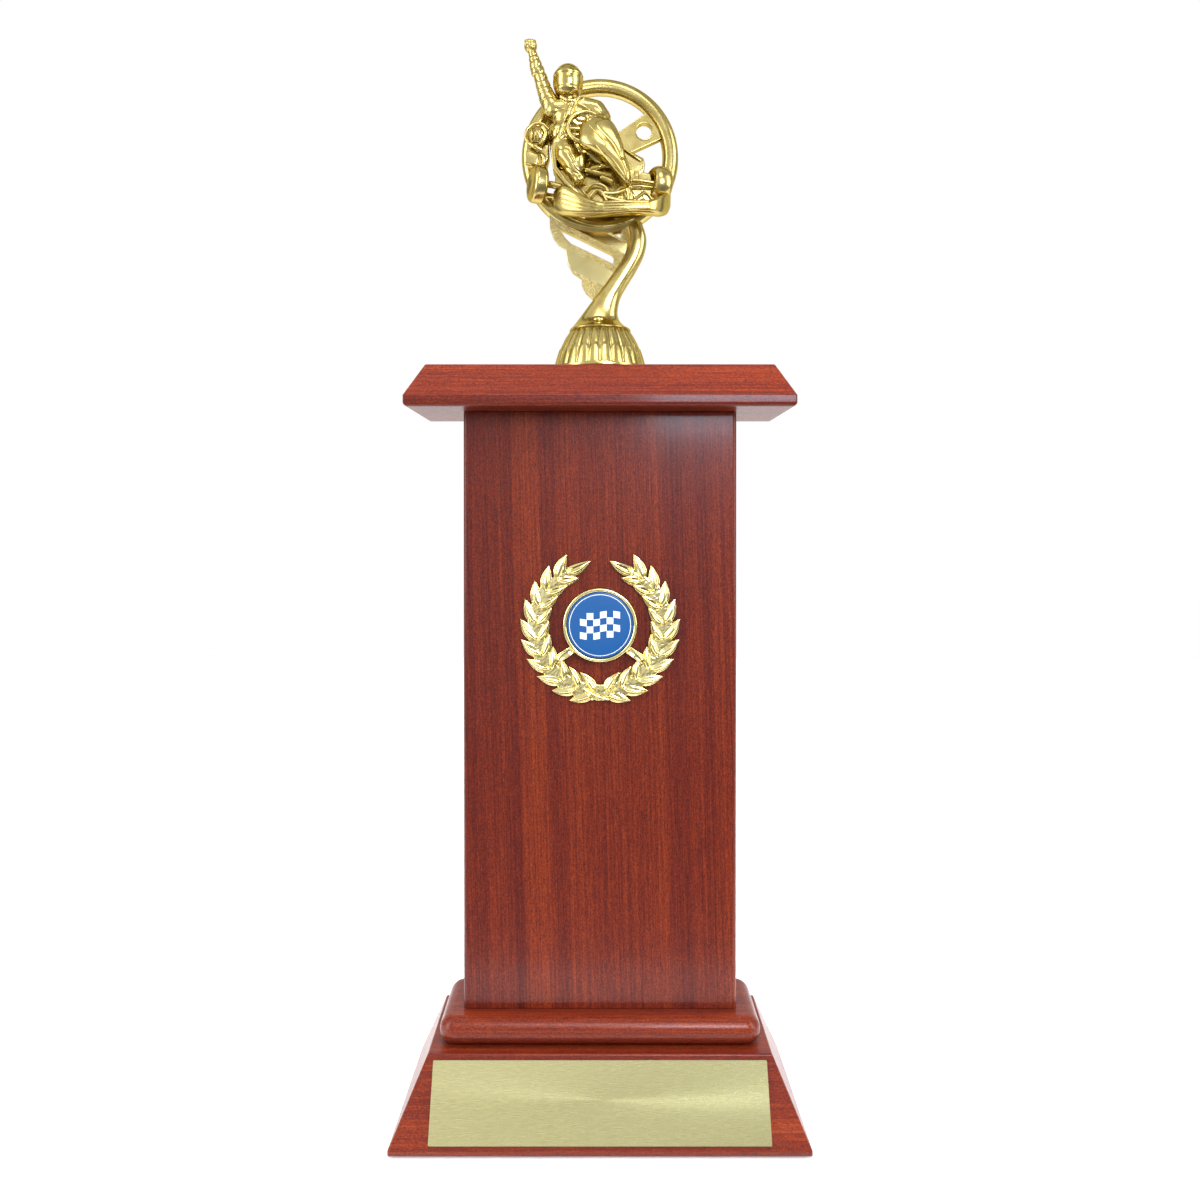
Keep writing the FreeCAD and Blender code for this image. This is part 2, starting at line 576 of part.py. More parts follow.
def kart_tyre(place):
    """A slick tyre with rounded shoulders, its outer side turned to the front."""
    centre = on_ring(place)
    tyre = Part.makeCylinder(TYRE_DIAMETER / 2, TYRE_WIDTH, centre - V(TYRE_WIDTH / 2, 0, 0), V(1, 0, 0))
    tyre = tyre.makeFillet(TYRE_SHOULDER, tyre.Edges[0:1] + tyre.Edges[2:3])
    tyre.rotate(centre, V(0, 0, 1), -math.copysign(TYRE_TURN_DEG, place[0]))
    return tyre


def kart_steering_wheel():
    lean = V(0, -math.cos(math.radians(STEERING_LEAN_DEG)), math.sin(math.radians(STEERING_LEAN_DEG)))
    centre = on_ring(STEERING_CENTRE)
    rim = Part.makeTorus(STEERING_RADIUS, STEERING_TUBE, centre, lean)
    bar = Part.makeCylinder(STEERING_TUBE, 2 * STEERING_RADIUS, centre - V(STEERING_RADIUS, 0, 0), V(1, 0, 0))
    column = Part.makeCylinder(STEERING_TUBE, 6.0, centre, lean * -1)
    return rim.fuse([bar, column])


# --- figure: the driver ----------------------------------------------------
def driver_body():
    torso = limb(on_ring(HIP), on_ring(CHEST), TORSO_RADIUS)
    shoulders = limb(on_ring(SHOULDER_LEFT), on_ring(SHOULDER_RIGHT), ARM_RADIUS + 0.6)
    neck = Part.makeCylinder(ARM_RADIUS, 8.0, on_ring(CHEST), V(0, 0, 1))
    return torso.fuse([shoulders, neck])


def driver_raised_arm():
    upper = limb(on_ring(SHOULDER_LEFT), on_ring(ELBOW_RAISED), ARM_RADIUS)
    fore = limb(on_ring(ELBOW_RAISED), on_ring(HAND_RAISED), ARM_RADIUS * 0.85)
    return upper.fuse([fore, Part.makeSphere(FIST_RADIUS, on_ring(HAND_RAISED))])


def driver_low_arm():
    upper = limb(on_ring(SHOULDER_RIGHT), on_ring(ELBOW_LOW), ARM_RADIUS)
    fore = limb(on_ring(ELBOW_LOW), on_ring(HAND_LOW), ARM_RADIUS * 0.85)
    return upper.fuse(fore)


def driver_legs():
    left = limb(on_ring(HIP), on_ring(KNEE_LEFT), LEG_RADIUS)
    shin = limb(on_ring(KNEE_LEFT), on_ring(FOOT_LEFT), LEG_RADIUS * 0.8)
    right = limb(on_ring(HIP), on_ring(KNEE_RIGHT), LEG_RADIUS)
    return left.fuse([shin, right])


def driver_helmet():
    shell = Part.makeSphere(HELMET_RADIUS, on_ring(HELMET_CENTRE))
    chin = Part.makeSphere(HELMET_RADIUS * 0.86, on_ring(HELMET_CENTRE) - V(0, 1.6, 2.0))
    return shell.fuse(chin)


def figure_parts():
    """The figure's mouldings in the order in which each is trimmed to the last."""
    carrier = {
        "figure_dome": figure_dome(),
        "riser_stem": riser_stem(),
        "wheel_rim": wheel_rim(),
        "wheel_spokes": wheel_spokes(),
        "riser_wing": riser_wing(),
    }
    relief = {
        "kart_seat": kart_seat(),
        "kart_chassis": kart_chassis(),
        "rear_tyre": kart_tyre(REAR_TYRE_CENTRE),
        "front_tyre": kart_tyre(FRONT_TYRE_CENTRE),
        "front_bumper": front_bumper(),
        "front_fairing": front_fairing(),
        "kart_engine": kart_engine(),
        "driver_body": driver_body(),
        "driver_helmet": driver_helmet(),
        "driver_legs": driver_legs(),
        "driver_raised_arm": driver_raised_arm(),
        "kart_steering_wheel": kart_steering_wheel(),
        "driver_low_arm": driver_low_arm(),
    }
    made = {}
    for name, shape in carrier.items():
        made[name] = seated(shape, made.values()) if made else shape
    for name, shape in relief.items():
        made[name] = seated(sized_to_ring(shape), made.values())
    made["captive_nut"] = captive_nut()
    return made


def stand_parts():
    bolt = figure_bolt()
    parts = {
        "base_pad": base_pad(),
        "plinth_block": plinth_block(),
        "plate_tape": plate_tape(),
        "engraving_plate": engraving_plate(),
        "tier_board": tier_board(),
        "column_board": column_board(),
        "cap_board": cap_board(),
        "laurel_wreath": laurel_wreath(),
        "wreath_tape": wreath_tape(),
        "insert_disc": insert_disc(),
        "figure_bolt": bolt,
        "bolt_washer": bolt_washer().cut(bolt),
    }
    for side, x in zip(("left", "right"), screw_places()):
        parts["base_screw_" + side] = base_screw(x)
    for side, x in zip(("left", "right"), dowel_places()):
        parts["lower_dowel_" + side] = lower_dowel(x)
        parts["upper_dowel_" + side] = upper_dowel(x)
    return parts


os.makedirs("parts", exist_ok=True)
every_part = {**stand_parts(), **figure_parts()}
for node, shape in every_part.items():
    shape.exportStep("parts/" + node + ".step")
    box = shape.BoundBox
    print("%-20s solids %d valid %s  volume %9.1f  z %.1f to %.1f"
          % (node, len(shape.Solids), shape.isValid(), shape.Volume, box.ZMin, box.ZMax))
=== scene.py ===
import bpy
import bmesh
from math import copysign, cos, exp, pi, radians, sin, sqrt, tan
from mathutils import Matrix, Vector, noise


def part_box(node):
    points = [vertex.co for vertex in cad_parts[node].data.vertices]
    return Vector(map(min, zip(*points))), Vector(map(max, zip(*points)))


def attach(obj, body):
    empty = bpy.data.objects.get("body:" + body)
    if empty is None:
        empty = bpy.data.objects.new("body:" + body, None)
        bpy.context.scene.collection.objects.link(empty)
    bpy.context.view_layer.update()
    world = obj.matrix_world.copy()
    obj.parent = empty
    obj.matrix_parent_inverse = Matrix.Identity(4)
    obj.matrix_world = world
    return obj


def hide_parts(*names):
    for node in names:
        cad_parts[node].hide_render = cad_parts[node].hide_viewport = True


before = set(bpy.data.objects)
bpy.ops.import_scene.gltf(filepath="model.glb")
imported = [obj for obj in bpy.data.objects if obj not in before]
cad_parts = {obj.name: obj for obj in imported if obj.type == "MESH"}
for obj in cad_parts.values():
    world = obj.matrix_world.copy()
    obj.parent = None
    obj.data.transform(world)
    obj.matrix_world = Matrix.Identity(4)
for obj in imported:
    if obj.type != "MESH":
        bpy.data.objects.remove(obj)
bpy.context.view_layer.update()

# ==== Felt pad and plinth ====
# The plinth is one block of mahogany, bevelled on four sides, stained
# red-brown and lacquered. A black felt pad is glued under it.
MM = 0.001
PLINTH_TOP_INSET = 12.2 * MM
PLINTH_LAND = 1.7 * MM
EDGE_EASE = 0.9 * MM
FOOT_EASE = 0.4 * MM
CORNER_EASE = 0.7 * MM
SHARPEST_CORNER = 0.25 * MM


def eased(outline, radii, steps=5):
    """An open outline of (x, y) points with each inner corner rounded."""
    rounded = [Vector(outline[0])]
    for before, corner, after, radius in zip(outline, outline[1:], outline[2:], radii):
        corner = Vector(corner)
        back = (Vector(before) - corner).normalized()
        on = (Vector(after) - corner).normalized()
        half = back.angle(on) / 2
        centre = corner + (back + on).normalized() * (radius / sin(half))
        start = corner + back * (radius / tan(half)) - centre
        end = corner + on * (radius / tan(half)) - centre
        for step in range(steps + 1):
            share = step / steps
            arm = (start * (1 - share) + end * share).normalized() * radius
            rounded.append(centre + arm)
    rounded.append(Vector(outline[-1]))
    return rounded


def mesh_of_rings(name, rings, closed=False):
    """A skin over rings of equal count; open ends are closed with a face."""
    mesh = bmesh.new()
    loops = [[mesh.verts.new(point) for point in ring] for ring in rings]
    pairs = list(zip(loops, loops[1:]))
    if closed:
        pairs.append((loops[-1], loops[0]))
    for low, high in pairs:
        for a, b, c, d in zip(low, low[1:] + low[:1], high[1:] + high[:1], high):
            mesh.faces.new((a, b, c, d))
    if not closed:
        mesh.faces.new(list(reversed(loops[0])))
        mesh.faces.new(loops[-1])
    bmesh.ops.recalc_face_normals(mesh, faces=mesh.faces)
    return linked(name, mesh)


def linked(name, mesh):
    data = bpy.data.meshes.new(name)
    mesh.to_mesh(data)
    mesh.free()
    data.shade_smooth()
    return placed(name, data)


def placed(name, data):
    thing = bpy.data.objects.new(name, data)
    bpy.context.scene.collection.objects.link(thing)
    return thing


def kept_flat(piece):
    """Weights the shading by face area, so eased edges don't darken the flats."""
    weights = piece.modifiers.new("flats", "WEIGHTED_NORMAL")
    weights.weight = 100
    return piece


def board(name, width, depth, corner, profile, steps=5):
    """A board with rounded corners in plan; profile is (inset, height) from the foot up."""
    rings = []
    for inset, height in profile:
        half_width = width / 2 - inset
        half_depth = depth / 2 - inset
        radius = max(corner - inset, SHARPEST_CORNER)
        ring = []
        for quarter, (across, along) in enumerate(((1, 1), (-1, 1), (-1, -1), (1, -1))):
            for step in range(steps + 1):
                angle = radians(90 * (quarter + step / steps))
                ring.append(Vector((
                    across * (half_width - radius) + radius * cos(angle),
                    along * (half_depth - radius) + radius * sin(angle), height)))
        rings.append(ring)
    return kept_flat(mesh_of_rings(name, rings))


def sum_with(operation):
    return lambda self, other: self.maths(operation, other)


class Wire:
    """A shader output that takes part in sums; each operator adds one Math node."""
    __add__ = __radd__ = sum_with("ADD")
    __sub__ = sum_with("SUBTRACT")
    __mul__ = __rmul__ = sum_with("MULTIPLY")
    __truediv__ = sum_with("DIVIDE")
    __gt__ = sum_with("GREATER_THAN")
    __lt__ = sum_with("LESS_THAN")

    def __init__(self, graph, socket):
        self.graph = graph
        self.socket = socket

    def __rsub__(self, other):
        return self * -1 + other

    def maths(self, operation, *others):
        return self.graph.node("Math", {"operation": operation}, dict(enumerate((self, *others))))

    def between(self, low, high):
        """0 below low, 1 above high, smooth in between."""
        return self.graph.node("MapRange", {"interpolation_type": "SMOOTHSTEP"},
                               {"Value": self, "From Min": low, "From Max": high})


class Graph:
    """A node tree that is built from plain calls."""

    def __init__(self, tree):
        self.nodes = tree.nodes
        self.links = tree.links

    def feed(self, socket, value):
        if isinstance(value, Wire):
            self.links.new(value.socket, socket)
        else:
            socket.default_value = value

    def node(self, kind, settings, inputs, out=0):
        made = self.nodes.new("ShaderNode" + kind)
        for setting, value in settings.items():
            if setting == "stops":
                ramp = made.color_ramp
                while len(ramp.elements) < len(value):
                    ramp.elements.new(0.5)
                for element, (place, colour) in zip(ramp.elements, value):
                    element.position = place
                    element.color = (*colour, 1)
            else:
                setattr(made, setting, value)
        for socket, value in inputs.items():
            self.feed(made.inputs[socket], value)
        return Wire(self, made.outputs[out])

    def parts_of(self, vector):
        """The x, y and z of a vector."""
        split = self.node("SeparateXYZ", {}, {"Vector": vector}).socket.node
        return [Wire(self, split.outputs[axis]) for axis in "XYZ"]


class Finish(Graph):
    """One procedural material and the surface shader that its nodes feed."""

    def __init__(self, name, **constants):
        self.material = bpy.data.materials.new(name)
        self.material.use_nodes = True
        super().__init__(self.material.node_tree)
        self.surface = self.nodes["Principled BSDF"]
        for socket, value in constants.items():
            self.feed(self.surface.inputs[socket.replace("_", " ")], value)

    def place(self):
        return self.node("TexCoord", {}, {}, out="Object")

    def scaled(self, vector, sizes):
        """The vector counted in cells of the given sizes, in metres."""
        counts = tuple(1 / size for size in sizes)
        return self.node("VectorMath", {"operation": "MULTIPLY"}, {0: vector, 1: counts})

    def grains(self, vector, detail=3.0, rough=0.5, shift=0.0):
        """Soft noise, one grain to each cell of the vector."""
        inputs = {"Vector": vector, "W": shift, "Scale": 1.0, "Detail": detail, "Roughness": rough}
        return self.node("TexNoise", {"noise_dimensions": "4D"}, inputs)

    def specks(self, size, detail=3.0, rough=0.5, shift=0.0):
        """Grains as long as they are wide."""
        return self.grains(self.scaled(self.place(), (size, size, size)), detail, rough, shift)

    def mix(self, share, first, second, style="MIX"):
        return self.node("Mix", {"data_type": "RGBA", "blend_type": style},
                         {0: share, 6: first, 7: second}, out=2)

    def bump(self, height, depth, strength=1.0, under=None):
        inputs = {"Height": height, "Distance": depth, "Strength": strength}
        if under:
            inputs["Normal"] = under
        return self.node("Bump", {}, inputs)

    def surface_of(self, **inputs):
        for socket, value in inputs.items():
            self.feed(self.surface.inputs[socket.replace("_", " ")], value)
        return self.material


def mahogany(name, grain, shift, lean=0.0, strips=()):
    """Stained, lacquered mahogany: tone bands, fibre, ripple and short dark pores.
    grain is the axis along the board; strips are tone stops across it, in mm."""
    finish = Finish(name, Coat_Weight=0.25, Coat_Roughness=0.14, Coat_IOR=1.5, IOR=1.25)
    turned = finish.node("Mapping", {}, {"Vector": finish.place(), "Rotation": (0, lean, 0)})

    def cells(across, along):
        sizes = (along, across, across) if grain == "X" else (across, across, along)
        return finish.scaled(turned, sizes)

    bands = finish.grains(cells(7 * MM, 900 * MM), 2.0, 0.5, shift)
    streaks = finish.grains(cells(0.95 * MM, 130 * MM), 3.0, 0.6, shift + 3)
    fibre = finish.grains(cells(0.26 * MM, 8 * MM), 3.0, 0.65, shift + 7)
    ripple = finish.grains(cells(0.55 * MM, 0.75 * MM), 2.0, 0.5, shift + 11)
    pores = finish.grains(cells(0.26 * MM, 2.0 * MM), 1.0, 0.5, shift + 17).between(0.58, 0.7)
    tone = bands * 0.26 + streaks * 0.4 + fibre * 0.42 + (ripple - 0.5) * 0.45 - 0.04
    if strips:
        reach = 120 * MM
        place = finish.parts_of(turned)[0] / reach + 0.5
        stops = [(across * MM / reach + 0.5, (0.5 + step,) * 3) for across, step in strips]
        tone = tone + (finish.node("ValToRGB", {"stops": stops}, {"Fac": place}) - 0.5)
    colour = finish.node("ValToRGB", {"stops": [
        (0.3, (0.052, 0.006, 0.006)), (0.45, (0.112, 0.013, 0.006)),
        (0.57, (0.185, 0.025, 0.007)), (0.74, (0.3, 0.054, 0.012))]}, {"Fac": tone})
    colour = finish.mix(pores * 0.6, colour, (0.03, 0.005, 0.004, 1))
    rough = 0.33 + pores * 0.16 + (ripple - 0.5) * 0.12
    relief = finish.bump(fibre * 0.4 + ripple * 0.5 - pores, 0.045 * MM, 0.5)
    return finish.surface_of(Base_Color=colour, Roughness=rough, Normal=relief)


def in_timber(piece, *grain):
    """Stained and lacquered, part of the stand."""
    piece.data.materials.append(mahogany("mahogany_" + piece.name, *grain))
    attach(piece, "stand")
    return piece


def box_size(node):
    low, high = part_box(node)
    return low, high, high - low


def coated(material, *nodes):
    """CAD pieces that are shown as they are take their material here."""
    for node in nodes:
        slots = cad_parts[node].data.materials
        slots.clear()
        slots.append(material)


low, high, size = box_size("plinth_block")
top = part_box("tier_board")[0].z
plinth_profile = eased(
    [(2 * FOOT_EASE, low.z), (0, low.z), (0, low.z + PLINTH_LAND), (PLINTH_TOP_INSET, top),
     (PLINTH_TOP_INSET + 3 * EDGE_EASE, top)], (FOOT_EASE, EDGE_EASE, EDGE_EASE))
plinth = in_timber(board("plinth", size.x, size.y, CORNER_EASE, plinth_profile), "X", 2.0)
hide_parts("plinth_block")

felt = Finish("black_felt", Sheen_Weight=0.4)
fluff = felt.specks(0.25 * MM, 4.0, 0.7)
coated(felt.surface_of(
    Base_Color=felt.mix(fluff, (0.004, 0.004, 0.004, 1), (0.03, 0.03, 0.032, 1)),
    Roughness=0.9 + fluff * 0.1, Normal=felt.bump(fluff, 0.3 * MM)), "base_pad")

# ==== Engraving plate ====
# Thin aluminium, anodised pale gold, brushed along its length and left
# blank. An adhesive sheet holds it on the plinth's front bevel.
BRUSH_LENGTH = 3.2 * MM
BRUSH_WIDTH = 0.11 * MM
brushed = Finish("brushed_pale_gold", Metallic=1.0, Anisotropic=0.4, IOR=1.5)
hairs = brushed.scaled(brushed.place(), (BRUSH_LENGTH, BRUSH_WIDTH, BRUSH_WIDTH))
brush = brushed.grains(hairs, 2.0, 0.5, 1.0)
coated(brushed.surface_of(
    Base_Color=brushed.mix(brush.between(0.2, 0.8), (0.54, 0.5, 0.235, 1), (0.78, 0.73, 0.38, 1)),
    Roughness=0.22 + (1 - brush) * 0.12, Normal=brushed.bump(brush, 0.012 * MM, 0.5)),
    "engraving_plate")

tape = Finish("adhesive_tape", Roughness=0.7)
speck = tape.specks(0.4 * MM, 2.0)
coated(tape.surface_of(
    Base_Color=tape.mix(speck, (0.55, 0.54, 0.5, 1), (0.7, 0.69, 0.66, 1)),
    Normal=tape.bump(speck, 0.05 * MM)), "plate_tape", "wreath_tape")

# ==== Tier board ====
# A thin mahogany board with a full bullnose on all four edges and rounded
# corners, screwed and dowelled between plinth and column.
TIER_CORNER = 6.0 * MM
NOSE_FLAT = 0.3 * MM
low, high, size = box_size("tier_board")
nose = (size.z - NOSE_FLAT) / 2
nose_profile = eased([(1.6 * nose, low.z), (0, low.z), (0, high.z), (1.6 * nose, high.z)],
                     (nose, nose), 9)
tier = in_timber(board("tier", size.x, size.y, TIER_CORNER, nose_profile, 8), "X", 5.0)
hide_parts("tier_board")

# ==== Column ====
# One flat mahogany board standing on end, its grain upright and leaning a
# little, the long edges eased by hand.
COLUMN_ROUND = 1.8 * MM
GRAIN_LEAN = radians(1.6)
COLUMN_STRIPS = [(-52, -0.05), (-26.6, -0.05), (-25.8, 0.03), (-16.5, 0.03), (-15.6, -0.03),
                 (10, -0.01), (28, 0.0), (33, -0.03), (52, -0.02)]
low, high, size = box_size("column_board")
column_profile = eased(
    [(3 * FOOT_EASE, low.z), (0, low.z), (0, high.z), (3 * FOOT_EASE, high.z)],
    (FOOT_EASE, FOOT_EASE))
column = in_timber(board("column", size.x, size.y, COLUMN_ROUND, column_profile),
                   "Z", 9.0, GRAIN_LEAN, COLUMN_STRIPS)
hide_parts("column_board")

# ==== Cap ====
# A thicker board bevelled on four sides above a short upright band whose
# lower edge is rounded, glued and dowelled on the column.
CAP_INSET = 7.0 * MM
CAP_BAND = 4.0 * MM
CAP_LOWER_ROUND = 1.6 * MM
low, high, size = box_size("cap_board")
cap_profile = eased(
    [(3 * CAP_LOWER_ROUND, low.z), (0, low.z), (0, low.z + CAP_BAND), (CAP_INSET, high.z),
     (CAP_INSET + 3 * EDGE_EASE, high.z)], (CAP_LOWER_ROUND, EDGE_EASE, EDGE_EASE))
cap = in_timber(board("cap", size.x, size.y, CORNER_EASE, cap_profile), "X", 14.0)
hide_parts("cap_board")

# ==== Hidden fixings ====
# Zinc-plated screws, bolt, washer and captive nut, and raw beech dowels.
# They lie inside the timber and the figure's foot.
zinc = Finish("zinc_plate", Metallic=1.0)
cloud = zinc.specks(1.2 * MM)
coated(zinc.surface_of(
    Base_Color=zinc.mix(cloud, (0.45, 0.47, 0.5, 1), (0.62, 0.63, 0.64, 1)),
    Roughness=0.25 + cloud * 0.25, Normal=zinc.bump(cloud, 0.02 * MM)),
    "figure_bolt", "bolt_washer", "captive_nut", "base_screw_left", "base_screw_right")
beech = Finish("raw_beech")
ray = beech.grains(beech.scaled(beech.place(), (0.4 * MM, 0.4 * MM, 5 * MM)))
coated(beech.surface_of(
    Base_Color=beech.mix(ray, (0.44, 0.27, 0.14, 1), (0.6, 0.42, 0.25, 1)),
    Roughness=0.6 + ray * 0.2, Normal=beech.bump(ray, 0.03 * MM)),
    "lower_dowel_left", "lower_dowel_right", "upper_dowel_left", "upper_dowel_right")

# ==== Laurel wreath ====
# One thin metallised moulding: two sprays of pointed laurel leaves that
# meet at the bottom, a round cup for the centre, and two struts to it.
LEAVES = 10
LEAF_STEP = radians(14.74)
FIRST_TIP = radians(-67)
OUTER_REACH = radians(17.5)
INNER_REACH = radians(20)
LAST_REACH = radians(24)
INNER_LEAD = radians(1.5)
STALK_RADIUS = 24.3 * MM
OUTER_TIP_RADIUS = 29.7 * MM
INNER_TIP_RADIUS = 18.2 * MM
LAST_TIP_RADIUS = 25.6 * MM
LEAF_WIDTH = 4.7 * MM
INNER_LEAF_WIDTH = 0.92 * LEAF_WIDTH
LEAF_RISE = 1.45 * MM
LEAF_GROUND = 0.45 * MM
LEAF_LIFT = 0.5 * MM
LEAF_BOW = 0.45 * MM
LEAF_RIM = 0.24 * MM
LEAF_EDGE = 0.3 * MM
LEAF_ACROSS = 12
LEAF_ALONG = 14
WREATH_DROP = 1.3 * MM


def gold(name, rough, tint=(0.58, 0.47, 0.175), shade=(0.48, 0.37, 0.12)):
    """Vacuum-metallised gold over moulded plastic: bright and faintly uneven."""
    finish = Finish(name, Metallic=1.0, Specular_Tint=(0.86, 0.72, 0.36, 1))
    flow = finish.specks(5 * MM, 2.0, 0.5, 1.0)
    grit = finish.specks(0.45 * MM, 3.0, 0.6, 2.0)
    finish.surface_of(
        Base_Color=finish.mix(flow.between(0.3, 0.7), (*shade, 1), (*tint, 1)),
        Roughness=rough + grit * 0.08 + (flow - 0.5) * 0.04,
        Normal=finish.bump(flow, 0.05 * MM, 0.4, finish.bump(grit, 0.01 * MM, 0.3)))
    return finish, grit


def joined(name, meshes):
    """Several meshes in one piece."""
    whole = bmesh.new()
    for part in meshes:
        whole.from_mesh(part.data)
        bpy.data.objects.remove(part)
    return linked(name, whole)


def circle(radius, count):
    """Points (across, up) at even steps round a circle."""
    turns = [2 * pi * step / count for step in range(count)]
    return [(radius * cos(turn), radius * sin(turn)) for turn in turns]


def on_wreath(radius, angle, out):
    return Vector((wreath_middle.x + radius * cos(angle), wreath_back - out,
                   wreath_middle.z + radius * sin(angle)))


def laurel_leaf(side, base_place, tip_place, width, bow):
    """A closed pointed leaf on the right (1) or left (-1) spray: a ridged pillow inside a
    thin raised rim, rising towards its tip. Places are (radius, angle)."""
    base, tip = (on_wreath(radius, angle if side > 0 else pi - angle, 0)
                 for radius, angle in (base_place, tip_place))
    run = tip - base
    sideways = Vector((run.z, 0, -run.x)).normalized()
    rings = []
    for row in range(LEAF_ALONG + 1):
        share = min(max(row / LEAF_ALONG, 0.012), 0.988)
        fullness = 2.7 * share ** 0.52 * (1 - share) ** 1.02
        half = width / 2 * fullness
        spine = base + run * share + sideways * (bow * side * sin(pi * share))
        ring = [spine - sideways * half]
        for step in range(LEAF_ACROSS + 1):
            across = 2 * step / LEAF_ACROSS - 1
            pillow = max(1 - (abs(across) / 0.72) ** 1.5, 0) * min(fullness, 1) * LEAF_RISE
            rim = LEAF_RIM * exp(-((abs(across) - 0.88) / 0.1) ** 2)
            edge = LEAF_EDGE if abs(across) == 1 else 0
            out = LEAF_GROUND + LEAF_LIFT * share + pillow + rim - edge
            ring.append(spine + sideways * (across * half) - Vector((0, out, 0)))
        ring.append(spine + sideways * half)
        rings.append(ring)
    return mesh_of_rings("leaf", rings)


wreath_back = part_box("laurel_wreath")[1].y
insert_low, insert_high, insert_size = box_size("insert_disc")
insert_middle = (insert_low + insert_high) / 2
wreath_middle = Vector((0, 0, insert_middle.z - WREATH_DROP))
leaves = []
for side in (1, -1):
    for count in range(LEAVES):
        tip = FIRST_TIP + LEAF_STEP * count
        inner_tip = tip + INNER_LEAD
        leaves.append(laurel_leaf(side, (STALK_RADIUS, tip - OUTER_REACH),
                                  (OUTER_TIP_RADIUS + 0.1 * MM * count, tip),
                                  LEAF_WIDTH, LEAF_BOW))
        leaves.append(laurel_leaf(side, (STALK_RADIUS, inner_tip - INNER_REACH),
                                  (INNER_TIP_RADIUS + 0.25 * MM * count, inner_tip),
                                  INNER_LEAF_WIDTH, -LEAF_BOW))
    last_tip = FIRST_TIP + LEAF_STEP * LEAVES + INNER_LEAD
    leaves.append(laurel_leaf(side, (STALK_RADIUS, last_tip - LAST_REACH),
                              (LAST_TIP_RADIUS, last_tip), INNER_LEAF_WIDTH, -LEAF_BOW))

STALK_STEPS = 384
STALK_TAPER = 32
STALK_SWEEP = 304
STALK_HALF = 3.0 * MM
STALK_TIP_HALF = 0.4 * MM
STIPPLE = 0.32
stalk = []
for step in range(STALK_STEPS + 1):
    angle = radians(-90 + STALK_SWEEP * (step / STALK_STEPS - 0.5))
    to_end = min(step, STALK_STEPS - step)
    half = max(STALK_HALF * min(to_end / STALK_TAPER, 1), STALK_TIP_HALF)
    ring = [on_wreath(STALK_RADIUS - half, angle, 0)]
    for dot in range(13):
        across = dot / 6 - 1
        stipple = STIPPLE * noise.noise(Vector((step * 0.61, dot * 0.93, 0)))
        out = (0.95 - 0.2 * across * across + stipple) * MM
        ring.append(on_wreath(STALK_RADIUS + across * half, angle, out))
    ring.append(on_wreath(STALK_RADIUS + half, angle, 0))
    stalk.append(ring)
leaves.append(mesh_of_rings("stalk", stalk))

STEM_HALF = 0.55 * MM
STEM_OUT = 1.5 * MM
for side in (-1, 1):
    rings = []
    for step in range(17):
        share = step / 16
        place = on_wreath(STALK_RADIUS + (2.6 - 3.4 * share) * MM,
                          radians(-90 + side * (7 - 22 * share)), STEM_OUT)
        rings.append([place + Vector((0, out, up)) for up, out in circle(STEM_HALF, 12)])
    leaves.append(mesh_of_rings("crossing_stem", rings))

STRUT_HALF = 1.55 * MM
STRUT_SECTION = [(-1, 0.3), (-1, 1.7), (-0.7, 2.0), (-0.55, 1.6),
                 (0.55, 1.6), (0.7, 2.0), (1, 1.7), (1, 0.3)]
for side in (-1, 1):
    start = Vector((side * 9.5 * MM, wreath_back, insert_middle.z - 8.6 * MM))
    end = Vector((side * 16.5 * MM, wreath_back, insert_middle.z - 13.4 * MM))
    across = Vector((end.z - start.z, 0, start.x - end.x)).normalized()
    leaves.append(mesh_of_rings("strut", [
        [start.lerp(end, share) + across * (STRUT_HALF * place) - Vector((0, out * MM, 0))
         for place, out in STRUT_SECTION] for share in (0, 0.5, 1)]))


def turned_ring(name, middle, profile, count=96):
    """A ring turned about the line through middle that points to the front."""
    return mesh_of_rings(name, [
        [Vector((middle.x + radius * across, middle.y - out, middle.z + radius * up))
         for radius, out in profile] for across, up in circle(1, count)], closed=True)


CUP_WALL = 1.36 * MM
cup_middle = Vector((0, wreath_back, insert_middle.z))
cup_radius = insert_size.x / 2
cup_profile = [(cup_radius - 1.0 * MM, 0.3 * MM), (cup_radius - 1.0 * MM, 1.7 * MM),
               (cup_radius + 0.05 * MM, 1.75 * MM), (cup_radius + 0.12 * MM, 2.9 * MM)]
for turn in range(0, 181, 20):
    lean = radians(turn)
    cup_profile.append((cup_radius + (0.72 - 0.6 * cos(lean)) * MM,
                        (2.95 + 0.42 * sin(lean)) * MM))
cup_profile += [(cup_radius + CUP_WALL, 2.4 * MM), (cup_radius + CUP_WALL, 0.3 * MM)]
leaves.append(turned_ring("cup", cup_middle, cup_profile))
wreath = joined("laurel_spray", leaves)
wreath_gold = gold("metallised_gold_wreath", 0.09,
                   (0.94, 0.83, 0.42), (0.86, 0.74, 0.32))[0].material
wreath.data.materials.append(wreath_gold)
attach(wreath, "stand")
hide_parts("laurel_wreath")

